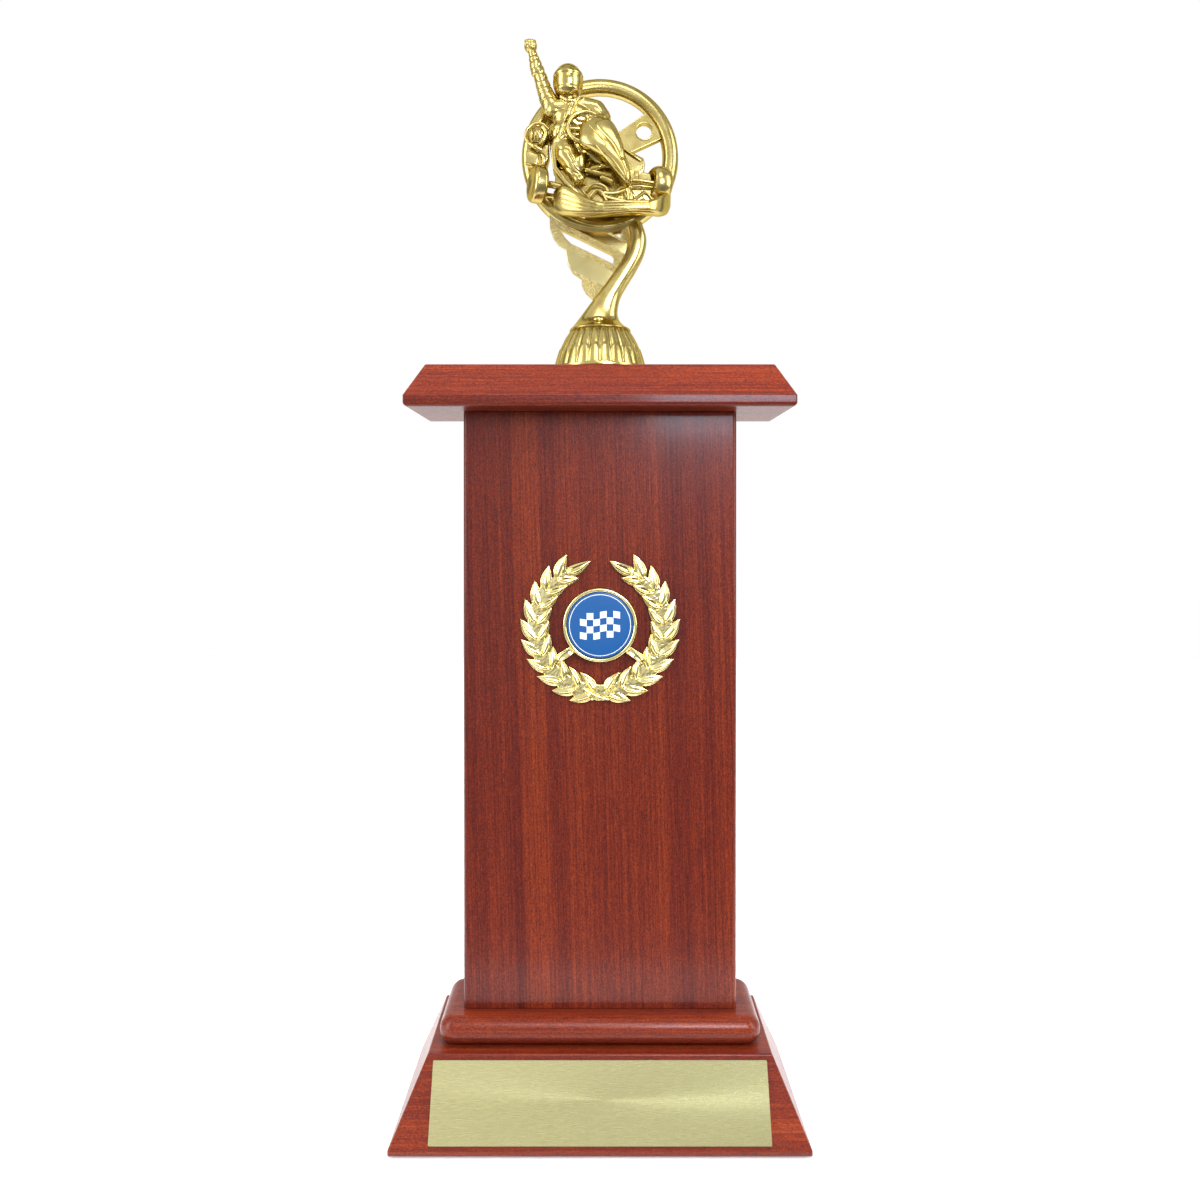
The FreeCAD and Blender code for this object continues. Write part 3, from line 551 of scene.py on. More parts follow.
# ==== Blue centre ====
# A printed 25 mm disc, slightly domed and glossy, pushed into the cup. Its
# print is a thin white ring round a plain chequered flag.
DISC_DOME = 0.35 * MM
DISC_GAP = 0.05 * MM
DISC_BELOW_RIM = 0.1 * MM
DISC_RINGS = 24
PRINT_RING_RADIUS = 11.45 * MM
PRINT_RING_HALF = 0.12 * MM
FLAG_SQUARE = 2.5 * MM
FLAG_COLUMNS = 6
FLAG_ROWS = 4
FLAG_WAVE = 0.45 * MM
FLAG_WAVE_LENGTH = 2.4 * MM
disc_rings = []
for share in [0.02] + [row / DISC_RINGS for row in range(1, DISC_RINGS + 1)]:
    out = insert_size.y + DISC_DOME * (1 - share ** 4) - DISC_BELOW_RIM
    disc_rings.append([Vector((across, insert_high.y - out, insert_middle.z + up))
                       for across, up in circle((cup_radius - DISC_GAP) * share, 96)])
disc_rings.append([Vector((point.x, insert_high.y, point.z)) for point in disc_rings[-1]])
disc = mesh_of_rings("centre_disc", disc_rings)

inked = Finish("blue_gloss_print", Coat_Weight=0.4, Coat_Roughness=0.04, IOR=1.35)
offset = inked.node("VectorMath", {"operation": "SUBTRACT"}, {0: inked.place(), 1: insert_middle})
flag_x, _, flag_z = inked.parts_of(offset)
radius = (flag_x * flag_x + flag_z * flag_z).maths("SQRT")
print_ring = (radius - PRINT_RING_RADIUS).maths("ABSOLUTE") < PRINT_RING_HALF
waved = flag_z - (flag_x / FLAG_WAVE_LENGTH).maths("SINE") * FLAG_WAVE
inside = (flag_x.maths("ABSOLUTE") < FLAG_COLUMNS * FLAG_SQUARE / 2) * (
    waved.maths("ABSOLUTE") < FLAG_ROWS * FLAG_SQUARE / 2)
square = (flag_x / FLAG_SQUARE).maths("FLOOR") + (waved / FLAG_SQUARE).maths("FLOOR")
white = (print_ring + inside * square.maths("FLOORED_MODULO", 2.0)).maths("MINIMUM", 1.0)
mottle = inked.specks(0.7 * MM)
blue = inked.mix(mottle, (0.006, 0.078, 0.25, 1), (0.008, 0.09, 0.28, 1))
disc.data.materials.append(inked.surface_of(
    Base_Color=inked.mix(white, blue, (0.83, 0.85, 0.88, 1)), Roughness=0.3 + mottle * 0.1,
    Normal=inked.bump(mottle, 0.01 * MM, 0.3)))
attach(disc, "stand")
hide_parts("insert_disc")

# ==== Figure: fluted foot ====
# A hollow moulded dome with twenty-four melon flutes; each flute has a
# raised petal at its foot. The riser's hub fills it and holds the nut.
FLUTES = 24
FLUTE_STEPS = 12
DOME_ROWS = 48
PETAL_TOP = 8.6 * MM
PETAL_RISE = 0.3 * MM
FOOT_BAND = 0.7 * MM
low, high, size = box_size("figure_dome")
foot_z = low.z
dome_side = [(17.8, 0), (17.8, 1), (17.45, 2.6), (16.6, 5.6), (15.3, 9.2), (13.7, 12.5),
             (12.6, 14.2), (11.9, 15.2)]


def through(points, share):
    """A smooth value between evenly counted points, share from 0 to 1."""
    spot = share * (len(points) - 1)
    index = min(int(spot), len(points) - 2)
    rest = spot - index
    a = points[max(index - 1, 0)]
    b = points[index]
    c = points[index + 1]
    d = points[min(index + 2, len(points) - 1)]
    return [0.5 * (2 * q + (r - p) * rest + (2 * p - 5 * q + 4 * r - s) * rest ** 2
                   + (3 * q - p - 3 * r + s) * rest ** 3) for p, q, r, s in zip(a, b, c, d)]


def fade(value):
    """0 below 0, 1 above 1, smooth in between."""
    value = min(max(value, 0), 1)
    return value * value * (3 - 2 * value)


dome_rings = []
for row in range(DOME_ROWS + 1):
    radius, height = (value * MM for value in through(dome_side, row / DOME_ROWS))
    band = fade((height - FOOT_BAND) / (0.6 * MM))
    depth = (0.38 + 0.62 * height / size.z) * MM
    ring = []
    for step in range(FLUTES * FLUTE_STEPS):
        angle = 2 * pi * step / (FLUTES * FLUTE_STEPS)
        across = 2 * (step % FLUTE_STEPS) / FLUTE_STEPS - 1
        lobe = 1 - sqrt(max(1 - across ** 2, 0))
        petal = fade((PETAL_TOP - 2.0 * MM * across ** 2 - height) / (0.55 * MM))
        reach = radius - band * (depth * lobe + PETAL_RISE * (1 - petal))
        ring.append(Vector((reach * sin(angle), -reach * cos(angle), foot_z + height)))
    dome_rings.append(ring)
figure_gold = gold("metallised_gold_figure", 0.2)[0].material


def on_figure(piece):
    """Moulded in the figure's gold, and turning with it."""
    piece.data.materials.append(figure_gold)
    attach(piece, "figure")
    return piece


dome = on_figure(mesh_of_rings("fluted_foot", dome_rings))
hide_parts("figure_dome")

# ==== Figure: riser stem ====
# The stem flares out of a round foot on the dome, leans and curves back,
# and ends under the ring. Two beads sit in the root of the flare.
STEM_SQUARENESS = 2.3


def lofted(name, stations, axis="Z", rows=60, count=40, square=2.0):
    """A smooth closed body through stations (place along axis, low 1, high 1, low 2, high 2)."""
    rings = []
    for row in range(rows + 1):
        along, low_1, high_1, low_2, high_2 = through(stations, row / rows)
        ring = []
        for corner in circle(1, count):
            first, second = (copysign(abs(part) ** (2 / square), part) for part in corner)
            one = (low_1 + high_1) / 2 + first * (high_1 - low_1) / 2
            two = (low_2 + high_2) / 2 + second * (high_2 - low_2) / 2
            ring.append(Vector((one, two, along) if axis == "Z" else (along, two, one)) * MM)
        rings.append(ring)
    return mesh_of_rings(name, rings)


def moved(piece, place):
    piece.data.transform(Matrix.Translation(place))
    return piece


stem_stations = [
    (15.2, -11.8, 11.8, -11.8, 11.8), (15.8, -11.7, 11.7, -11.6, 11.6),
    (17, -10.6, 9.9, -8.6, 8.6), (19.5, -8.7, 7.6, -5.7, 5.7), (22.8, -6.3, 6.8, -4.7, 4.7),
    (27.8, -2.6, 7.7, -4.3, 4.3), (32.8, 1.2, 10.3, -4.1, 4.1), (38.8, 5.4, 14, -4, 4),
    (45, 9.2, 17, -3.9, 3.9), (51, 10.4, 18, -3.7, 3.7), (57, 9.4, 16.4, -3, 3),
    (59.6, 10.2, 15.2, -2, 2), (60.6, 11.6, 14, -0.8, 0.8)]
foot_middle = Vector((0, 0, foot_z))


def bead(middle, radius, squash):
    """A squashed ball."""
    rings = []
    for turn in range(0, 181, 15):
        reach = max(radius * sin(radians(turn)), 0.02)
        rise = -squash * radius * cos(radians(turn))
        rings.append([(Vector(middle) + Vector((across, along, rise))) * MM
                      for across, along in circle(reach, 40)])
    return mesh_of_rings("bead", rings)


stem = on_figure(moved(joined("riser_stem_gold", [
    lofted("stem", stem_stations, rows=90, count=56, square=STEM_SQUARENESS),
    bead((-0.6, -4.6, 18.9), 2.4, 0.7), bead((-0.6, -5.4, 16.9), 3.4, 0.42)]), foot_middle))
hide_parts("riser_stem")

# ==== Figure: riser wing ====
# A flat scalloped web beside the stem, pierced by a long slot and a small
# triangle. Two bands are polished, the rest is cast with a fine knurl.
WING_HALF = 1.9 * MM
WING_EASE = 0.35 * MM
RING_MIDDLE_UP = 82.9
RING_RADIUS = 27.2
BAND_SLOPE = -0.5
UPPER_BAND = (49.8 * MM, 54.2 * MM)
LOWER_BAND = (33.4 * MM, 40.6 * MM)
KNURL_WAVE = 0.115 * MM
wing_outer = [(-19.4, 60.5), (-19.4, 55.5), (-18.1, 51.8), (-16.1, 49.2), (-13.1, 47.4),
              (-13.1, 45.3), (-12.5, 41.7), (-10.6, 38.3), (-7.2, 35.9), (-7, 33.3),
              (-5.5, 30.4), (-2.4, 27.6), (2, 30), (9, 38), (13, 46), (13, 55.5)]
wing_outer += [(across, RING_MIDDLE_UP - sqrt(RING_RADIUS ** 2 - across ** 2))
               for across in range(8, -17, -4)]
wing_slot = [(-15.4, 54.9), (4.4, 45.2), (5.5, 43.8), (5, 41.3), (-11.4, 49.2), (-13.5, 51.4)]
wing_triangle = [(4.4, 53.4), (8.2, 54.4), (7.8, 51.2)]


def as_evaluated(piece):
    """A copy of the mesh that a curve or modifiers make."""
    bpy.context.view_layer.update()
    evaluated = piece.evaluated_get(bpy.context.evaluated_depsgraph_get())
    return bpy.data.meshes.new_from_object(evaluated)


def flat_outline(name, loops, half, ease):
    """A bevelled plate from closed outlines of (sideways, up) points; later loops are holes."""
    curve = bpy.data.curves.new(name, "CURVE")
    curve.dimensions = "2D"
    curve.fill_mode = "BOTH"
    curve.extrude = half - ease
    curve.bevel_depth = ease
    curve.bevel_resolution = 3
    curve.offset = -ease
    curve.resolution_u = 8
    for loop in loops:
        spline = curve.splines.new("BEZIER")
        spline.bezier_points.add(len(loop) - 1)
        spline.use_cyclic_u = True
        for point, (across, up) in zip(spline.bezier_points, loop):
            point.co = (across * MM, up * MM, 0)
            point.handle_left_type = "VECTOR"
            point.handle_right_type = "VECTOR"
    holder = placed(name + "_outline", curve)
    solid = bmesh.new()
    solid.from_mesh(as_evaluated(holder))
    bpy.data.objects.remove(holder)
    bmesh.ops.remove_doubles(solid, verts=solid.verts, dist=0.002 * MM)
    bmesh.ops.recalc_face_normals(solid, faces=solid.faces)
    solid.transform(Matrix.Rotation(radians(90), 4, "X"))
    return kept_flat(linked(name, solid))


wing = moved(flat_outline("riser_wing_gold", [wing_outer, wing_slot, wing_triangle],
                          WING_HALF, WING_EASE), foot_middle)
# The wing's gold has a lighter tint than the rest of the figure. This is painted brightness
# standing in for the light its polished bands catch, not a different gold.
knurled, grit = gold("metallised_gold_knurled_painted_lighter", 0.14, (0.74, 0.64, 0.31), (0.64, 0.53, 0.22))
spot_x, _, spot_z = knurled.parts_of(knurled.place())
lane = (spot_z - foot_z) - spot_x * BAND_SLOPE
upper, lower = ((lane > start) * (lane < end) for start, end in (UPPER_BAND, LOWER_BAND))
cast = 1 - upper.maths("MAXIMUM", lower)
knurl = ((spot_x + spot_z) / KNURL_WAVE).maths("SINE") * 0.5 + (
    (spot_x - spot_z) / KNURL_WAVE).maths("SINE") * 0.5
wing.data.materials.append(knurled.surface_of(
    Normal=knurled.bump(knurl * cast, 0.16 * MM, 0.9), Roughness=0.1 + cast * 0.14 + grit * 0.06))
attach(wing, "figure")
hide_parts("riser_wing")

# ==== Figure: steering-wheel ring and spokes ====
# A round-section rim with three flat spokes, each pierced by one hole
# with a raised lip. It frames the kart.
low, high, size = box_size("wheel_rim")
ring_middle = (low + high) / 2
tube = size.y / 2
ring_radius = size.x / 2 - tube
rim_profile = [(ring_radius + reach, -out) for reach, out in circle(tube, 24)]
rim = on_figure(turned_ring("wheel_ring", ring_middle, rim_profile, 144))
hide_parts("wheel_rim")

SPOKE_HALF = 1.5 * MM
SPOKE_EASE = 0.3 * MM
SPOKE_HOLE_PLACE = 19.6
SPOKE_HOLE_RADIUS = 3.1
LIP_HALF = 0.28
LIP_RISE = 0.22 * MM
HUB_RADIUS = 9
spoke_sides = [(5, -4.7), (11.8, -4.7), (26, -6), (26, 6), (11.8, 4.7), (5, 4.7)]
spoke_hole = [(SPOKE_HOLE_PLACE + across, up) for across, up in circle(SPOKE_HOLE_RADIUS, 24)]
lip_profile = [((SPOKE_HOLE_RADIUS + LIP_HALF * (1 + across)) * MM, SPOKE_HALF + LIP_RISE * out)
               for across, out in circle(1, 12)]
spokes = [flat_outline("hub_plate", [circle(HUB_RADIUS, 24)], SPOKE_HALF, SPOKE_EASE)]
for lean in (30, 150, 270):
    spoke = flat_outline("spoke", [spoke_sides, spoke_hole], SPOKE_HALF, SPOKE_EASE)
    lip = turned_ring("lip", Vector((SPOKE_HOLE_PLACE * MM, 0, 0)), lip_profile, 48)
    for part in (spoke, lip):
        part.data.transform(Matrix.Rotation(radians(-lean), 4, "Y"))
        spokes.append(part)
spokes = on_figure(kept_flat(moved(joined("wheel_ring_spokes", spokes), ring_middle)))
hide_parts("wheel_spokes")

# ==== Figure: kart ====
# A racing kart in half relief before the ring, seen from its front: floor,
# wrap-round bumper, tall nose fairing, side pod, two tyres and the engine.
# Its places are in mm from the ring's middle, forward being negative.


def at_ring(pieces, name):
    """Sculpted parts joined and moved to the ring."""
    return on_figure(moved(joined(name, pieces), ring_middle))


def relief(name, outline, back, front, ease):
    """A bevelled plate between two depths."""
    plate = flat_outline(name, [outline], (back - front) / 2 * MM, ease * MM)
    return moved(plate, Vector((0, (back + front) / 2 * MM, 0)))


def pipes(*bars, sides=12):
    """Round bars, each given as its radius and the places on its smooth run."""
    made = []
    for radius, *places in bars:
        count = 8 * (len(places) - 1)
        path = [Vector(through(places, step / count)) for step in range(count + 1)]
        rings = []
        for index, place in enumerate(path):
            ahead = (path[min(index + 1, count)] - path[max(index - 1, 0)]).normalized()
            side = ahead.cross(Vector((0.13, 0.2, 0.97))).normalized()
            over = side.cross(ahead)
            rings.append([(place + side * across + over * up) * MM
                          for across, up in circle(radius, sides)])
        made.append(mesh_of_rings("pipe", rings))
    return made


floor_outline = [
    (-17, -13.5), (-12.8, -15.1), (-8.8, -19), (-4.3, -22.6), (1, -24.4), (12.6, -24),
    (18.4, -23), (21, -19), (19, -10), (12, -8.6), (4, -7.6), (-6, -7.6),
    (-16.6, -9)]
rail_outline = [
    (-17.4, 2), (-18.4, -2.2), (-17.6, -9), (-13.4, -14.6), (-9, -18.2), (-8.2, -17),
    (-12.2, -13.4), (-16, -8.2), (-16.6, -2.4), (-15.8, 1.8)]
well_outline = [(-8, -15.2), (7, -14.6), (9.4, -21.4), (-2.6, -22.6)]
chassis = [relief("floor", floor_outline, -2.6, -11, 0.5),
           relief("side_rail", rail_outline, -6, -13.2, 0.5),
           relief("foot_well", well_outline, -10.6, -12.8, 0.5)]
for x in range(-11, 15, 5):
    chassis.append(relief("floor_rib", [(x, -9.2), (x + 0.7, -9.2), (x + 3.2, -22),
                                        (x + 2.5, -22)], -10.6, -11.5, 0.15))
chassis += pipes(
    (1.3, (-20.5, -9.5, -13.6), (-18, -10, -14), (-14.5, -10.5, -15.2)),
    (0.9, (-20.5, -8, -17.2), (-18, -9, -17.8), (-15, -10, -19)),
    (0.55, (-4.6, -9, -3), (-4.9, -12, -7), (-4.9, -12.6, -11.4)),
    (0.5, (-7.4, -12.4, -9.9), (-5, -12.7, -9.5), (1, -12.4, -8.4)),
    (1.1, (-5.6, -13.2, -9.6), (-1, -13.8, -11), (4.6, -14, -12.2)),
    (1.15, (0.4, -14.4, -12.8), (4.8, -15, -14.8)),
    (0.65, (-5.2, -13.6, -17.8), (-2.4, -14.6, -15.4), (1.8, -15.2, -16.6), (4.6, -15.8, -20.8)),
    (0.6, (-3.4, -13.8, -20), (-1.4, -14.6, -17.8), (1, -15.2, -18.8), (2.6, -15.6, -22)),
    (0.6, (5.4, -16, -20.6), (7.6, -16.8, -17.8), (10.6, -17, -18.2), (13, -16.6, -21.4)))
chassis = at_ring(chassis, "kart_floor")
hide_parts("kart_chassis")

bumper_stations = [
    (-17.4, -24, -16.6, -12, -7), (-14.2, -26.2, -15.4, -15.4, -9.5),
    (-9.4, -27.7, -18.5, -18.6, -13), (-4.3, -28.6, -22.2, -20.8, -15),
    (1, -28.7, -23.9, -21.6, -16), (6.6, -28.4, -23.9, -21.9, -16.2),
    (12.4, -27.9, -23.5, -21.6, -16), (18, -27.8, -22.7, -20.6, -14.5),
    (22.2, -27.2, -20.2, -17.6, -11.5), (25.2, -25, -17, -13.2, -8),
    (26.7, -21.5, -13.6, -9, -5.2)]
panel_outline = [(1, -24.4), (17.6, -24), (18.2, -27), (1.4, -28.1)]
bumper = [lofted("bumper", bumper_stations, "X", 90, 44, 3),
          relief("number_panel", panel_outline, -18, -22.6, 0.3)]
for drop in (0, 1.05, 2.1):
    bumper.append(relief("panel_rib", [(1.6, -24.9 - drop), (17.6, -24.5 - drop),
                                       (17.6, -24.9 - drop), (1.6, -25.3 - drop)],
                         -21, -23.1, 0.12))
for drop in (0, 1.9, 3.6):
    bumper += pipes((0.36, (-14.8, -14.9, -18.8 - drop), (-10.4, -18.2, -21.2 - drop),
                     (-6.2, -20.2, -23.6 - drop * 0.8), (-1, -21.5, -25.2 - drop * 0.6)), sides=8)
bumper = at_ring(bumper, "kart_bumper")
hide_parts("front_bumper")

fairing_stations = [
    (9.9, -2.4, -0.8, -14.5, -12.5), (9.3, -4.2, 1.7, -16.2, -11.5),
    (7.6, -6.3, 4.4, -17.8, -11), (5, -7.6, 6.1, -19.4, -11),
    (2, -8, 7.3, -20.6, -11), (-0.8, -8.2, 8.3, -21.3, -11),
    (-3, -6.4, 8.8, -21.9, -11.5), (-5.2, -2.8, 9.1, -22.2, -12.5),
    (-8, 1.2, 9.9, -22.6, -13.5), (-11, 4.2, 10.9, -22.8, -14.5),
    (-14, 6.6, 11.3, -23, -16), (-16.4, 8.4, 11.4, -22.8, -17),
    (-17.7, 9.6, 11, -22, -18)]
panel_stations = [
    (7, 0.8, 3.6, -18.9, -15), (5.4, -1.8, 4.8, -20.1, -15), (2.5, -1.2, 6.2, -21.3, -15),
    (-0.8, 1.6, 7.4, -22.1, -15), (-3.4, 3.8, 8.2, -22.6, -15), (-6.4, 5.5, 8.8, -22.9, -16),
    (-8.6, 6.6, 9, -22.8, -17)]
tip_stations = [(-9.8, 7, 9.6, -23.1, -18), (-12.5, 8.1, 10.4, -23.5, -18),
                (-15, 8.9, 10.8, -23.6, -18), (-16.9, 9.6, 10.7, -23.2, -18)]
fairing = [lofted("fairing", fairing_stations, rows=80, count=52, square=2.1),
           lofted("nose_panel", panel_stations, rows=40, count=36, square=3.2),
           lofted("nose_tip", tip_stations, rows=24, count=28, square=3.6)]
fairing += pipes(
    (0.32, (-6.3, -17, 4.4), (-4.6, -19.4, 1.2), (-1.4, -21.2, -3.6), (2.6, -22.4, -9.2),
     (6.4, -22.9, -14), (9, -22.7, -17)),
    (0.26, (-4, -19.2, 4.6), (-1.6, -20.9, 1.4), (1.4, -22, -2), (2.6, -22.5, -5.6)), sides=8)
fairing = at_ring(fairing, "kart_fairing")
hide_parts("front_fairing")

TYRE_YAW = radians(22)
TYRE_TILT = radians(3)


def tyre(middle, diameter, width, shoulder):
    """A slick tyre with rounded shoulders and a shallow dish, its left side to the front."""
    wall = 1 - shoulder
    side = [(0.1 / diameter, 0.36), (0.3, 0.36), (0.36, 0.4), (wall - 0.16, 0.42),
            (wall - 0.1, 0.47), (wall, 0.5)]
    for turn in range(10, 91, 10):
        lean = radians(turn)
        side.append((wall + shoulder * sin(lean), 0.5 - shoulder * 1.3 * (1 - cos(lean))))
    profile = [(reach, -out) for reach, out in side] + side[::-1]
    part = mesh_of_rings("tyre", [
        [Vector((out * width, across, up)) * MM for across, up in circle(reach * diameter / 2, 56)]
        for reach, out in profile])
    part.data.transform(Matrix.Rotation(TYRE_TILT, 4, "Y"))
    part.data.transform(Matrix.Rotation(TYRE_YAW, 4, "Z"))
    return moved(part, Vector(middle) * MM)


rear = at_ring([tyre((-23.6, -9, -13.5), 13.8, 5.2, 0.22)], "kart_rear_tyre")
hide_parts("rear_tyre")
front = at_ring([tyre((22.2, -8.8, -13.6), 13.4, 7.6, 0.36)] + pipes(
    (0.75, (11.9, -13, -13.6), (16, -13.2, -13.8), (20.4, -12.6, -14.2)),
    (0.45, (12, -12.6, -15.6), (16, -12.9, -15.6), (20, -12.2, -15.8))), "kart_front_tyre")
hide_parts("front_tyre")

seat_outline = [(-19.6, 9), (-19, 1), (-17.6, -7), (-5, -7.4), (-1, 2),
                (-0.6, 11), (-8, 14)]
pod_outline = [(8, 0.6), (16.4, -4), (17, -6), (16.6, -9.4), (15.4, -12), (9, -12.2)]
facet_outline = [(12.6, -9.4), (16, -7.2), (16.2, -9.6), (12.8, -12)]
seat = pipes(
    (0.75, (-0.8, -13, -17.8), (2.2, -15.5, -19), (6.4, -18, -19.9), (10.3, -20, -19.4)),
    (0.6, (-0.8, -13, -17.8), (3.4, -16, -20.8), (9.4, -19.6, -23.4)),
    (0.7, (12.4, -19.6, -23.4), (14.4, -17.4, -20.9), (16.3, -15.6, -19)),
    (0.6, (16.3, -15.6, -19), (17.8, -15, -19.6), (19.4, -14, -21.4)),
    (1.3, (10.3, -20, -19.4), (10.9, -20.6, -21.4), (11, -20.6, -23.6)),
    (0.45, (8.6, -11, -0.6), (12.6, -11, -3.4), (15.4, -10.6, -5.2)))
seat += [relief("pod", pod_outline, -3.2, -10.4, 0.8),
         relief("pod_facet", facet_outline, -10, -11.2, 0.4),
         relief("seat", seat_outline, -2.4, -6.6, 1)]
seat = at_ring(seat, "kart_seat_and_pod")
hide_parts("kart_seat")

HEAD_X = -23.4
HEAD_UP = 5.0
COOLING_RADIUS = 4.7
block_outline = [(-27.6, 0.4), (-28.2, -3.2), (-27.4, -6.4), (-20.4, -6.8), (-19.2, -2.4),
                 (-19.4, 2)]
flank_outline = [(-28, -1), (-28.2, -5.8), (-23.6, -6.4), (-23, -2.6)]
cooling_arc = [(HEAD_X + COOLING_RADIUS * cos(radians(turn)), -8.6,
                HEAD_UP + COOLING_RADIUS * sin(radians(turn)))
               for turn in range(30, 231, 40)]
engine = [relief("engine_block", block_outline, -2.6, -8.6, 0.7),
          relief("engine_flank", flank_outline, -7, -10, 0.5),
          bead((HEAD_X, -6.6, HEAD_UP), 4.3, 1)]
engine += pipes(
    (0.62, *cooling_arc),
    (0.75, (-21.6, -10.6, 7.6), (-20.4, -11, 5.4), (-21.2, -10.8, 2.6), (-22.6, -10.4, 1)),
    (0.9, (-26.6, -9.6, 1.6), (-24.4, -10.8, 0), (-21.8, -10.4, -1.2)),
    (0.8, (-21.8, -9.4, -2.4), (-21, -10, -4.4), (-21.2, -9.6, -6.4)))
for fin in range(5):
    place = -26.0 + 1.25 * fin
    engine += pipes((0.36, (place, -9.8, 7.4 - 0.2 * fin), (place + 0.5, -11, 5.2),
                     (place + 0.2, -10, 2.8)), sides=8)
engine = at_ring(engine, "kart_motor")
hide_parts("kart_engine")

HAND_WHEEL_RADIUS = 6.4
HAND_WHEEL_TUBE = 0.8
tube_profile = [((HAND_WHEEL_RADIUS + across) * MM, out * MM)
                for across, out in circle(HAND_WHEEL_TUBE, 12)]
hand_wheel = turned_ring("hand_wheel", Vector(), tube_profile, 64)
hand_wheel.data.transform(Matrix.Rotation(radians(-14), 4, "X"))
moved(hand_wheel, Vector((-5.5, -15.8, 5.3)) * MM)
small_wheel = at_ring([hand_wheel] + pipes(
    (0.8, (-12.2, -15.6, 4.6), (-9, -15.8, 4.5), (-4, -15.4, 4.6)),
    (0.7, (-12, -15, 2.9), (-9.4, -15.4, 2.5), (-5, -15, 2.8)),
    (0.9, (-5.5, -15.2, 5.3), (-5, -12.5, 2), (-4.4, -9, -2))), "kart_hand_wheel")
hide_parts("kart_steering_wheel")

# ==== Figure: driver ====
# The driver sits in the kart in a creased racing suit and a full-face
# helmet, one fist raised. Sculpted as one skin and smoothed like a casting.
SKIN_CELL = 0.3 * MM
SKIN_PASSES = 4
BALL_STEP = 0.4
KNUCKLE_STEP = 1.05


def ball(mesh, place, radii):
    size_of = Matrix.Diagonal([radius * MM for radius in radii] + [1])
    bmesh.ops.create_icosphere(mesh, subdivisions=3, radius=1.0,
                               matrix=Matrix.Translation(Vector(place) * MM) @ size_of)


def limbs(mesh, *runs):
    """Tapering limbs through (x, y, z, radius) places."""
    for run in runs:
        for start, end in zip(run, run[1:]):
            gap = (Vector(end[:3]) - Vector(start[:3])).length
            steps = max(int(gap / BALL_STEP), 1)
            for step in range(steps + 1):
                share = step / steps
                *place, radius = (a + (b - a) * share for a, b in zip(start, end))
                ball(mesh, place, (radius, radius, radius))


def skinned(name, mesh):
    """One continuous skin round overlapping volumes."""
    lump = linked(name, mesh)
    cells = lump.modifiers.new("skin", "REMESH")
    cells.mode = "VOXEL"
    cells.voxel_size = SKIN_CELL
    soften = lump.modifiers.new("soften", "SMOOTH")
    soften.factor = 0.5
    soften.iterations = SKIN_PASSES
    data = as_evaluated(lump)
    lump.modifiers.clear()
    lump.data = data
    return lump


def creased(lump, creases):
    """Pushes the skin in and out; creases lists (weight at a point, direction, pitch, depth,
    wander)."""
    normals = [vertex.normal.copy() for vertex in lump.data.vertices]
    for vertex, normal in zip(lump.data.vertices, normals):
        point = vertex.co / MM
        push = 0.0
        for weight, direction, pitch, depth, wander in creases:
            share = weight(point)
            if share > 0:
                warp = noise.noise(point * 0.22) * wander
                ridge = 1 - abs(sin(pi * (point.dot(direction) / pitch + warp)))
                swell = 0.45 * wander * noise.noise(point * 0.33)
                push += share * depth * (swell - ridge ** 2)
        vertex.co += normal * push * MM
    lump.data.update()
    return lump


body = bmesh.new()
ball(body, (-9.6, -7.8, 11.6), (8.4, 5, 6.2))
ball(body, (-12.6, -8.6, 5), (6.2, 5, 6.4))
limbs(body,
      [(-17, -7.6, 15.2, 3.9), (-6, -7.4, 16, 4), (-1.6, -8, 14.8, 3.8),
       (0.8, -8.8, 11.4, 3.4), (1.2, -10.6, 7.5, 2.8)],
      [(0.6, -13, 9.6, 2), (-1.6, -15.4, 8.2, 1.8), (-3.8, -16.4, 7, 1.5)],
      [(-11.4, -7.6, 14.5, 4.4), (-11.6, -7.8, 19.4, 3.7)],
      [(-18.2, -7.4, 16.2, 3.8), (-19.8, -7.2, 19.6, 3.3), (-20.9, -7, 22.4, 3),
       (-21.9, -6.9, 25.6, 2.8), (-22.8, -6.8, 28.6, 2.45), (-23.9, -6.6, 30.7, 2.7),
       (-24.8, -6.4, 34.1, 2.2), (-25.6, -6.2, 37.2, 1.65)])
ball(body, (-26.4, -6, 40.1), (2.5, 2.3, 2.6))
for knuckle in range(4):
    x = -28.0 + knuckle * KNUCKLE_STEP
    ball(body, (x, -7.6, 41.3 - abs(knuckle - 1.4) * 0.28), (0.72, 0.9, 1))
    ball(body, (x, -8.2, 39.9), (0.62, 0.55, 0.95))
ball(body, (-26, -8.3, 38.7), (1.7, 0.7, 0.75))
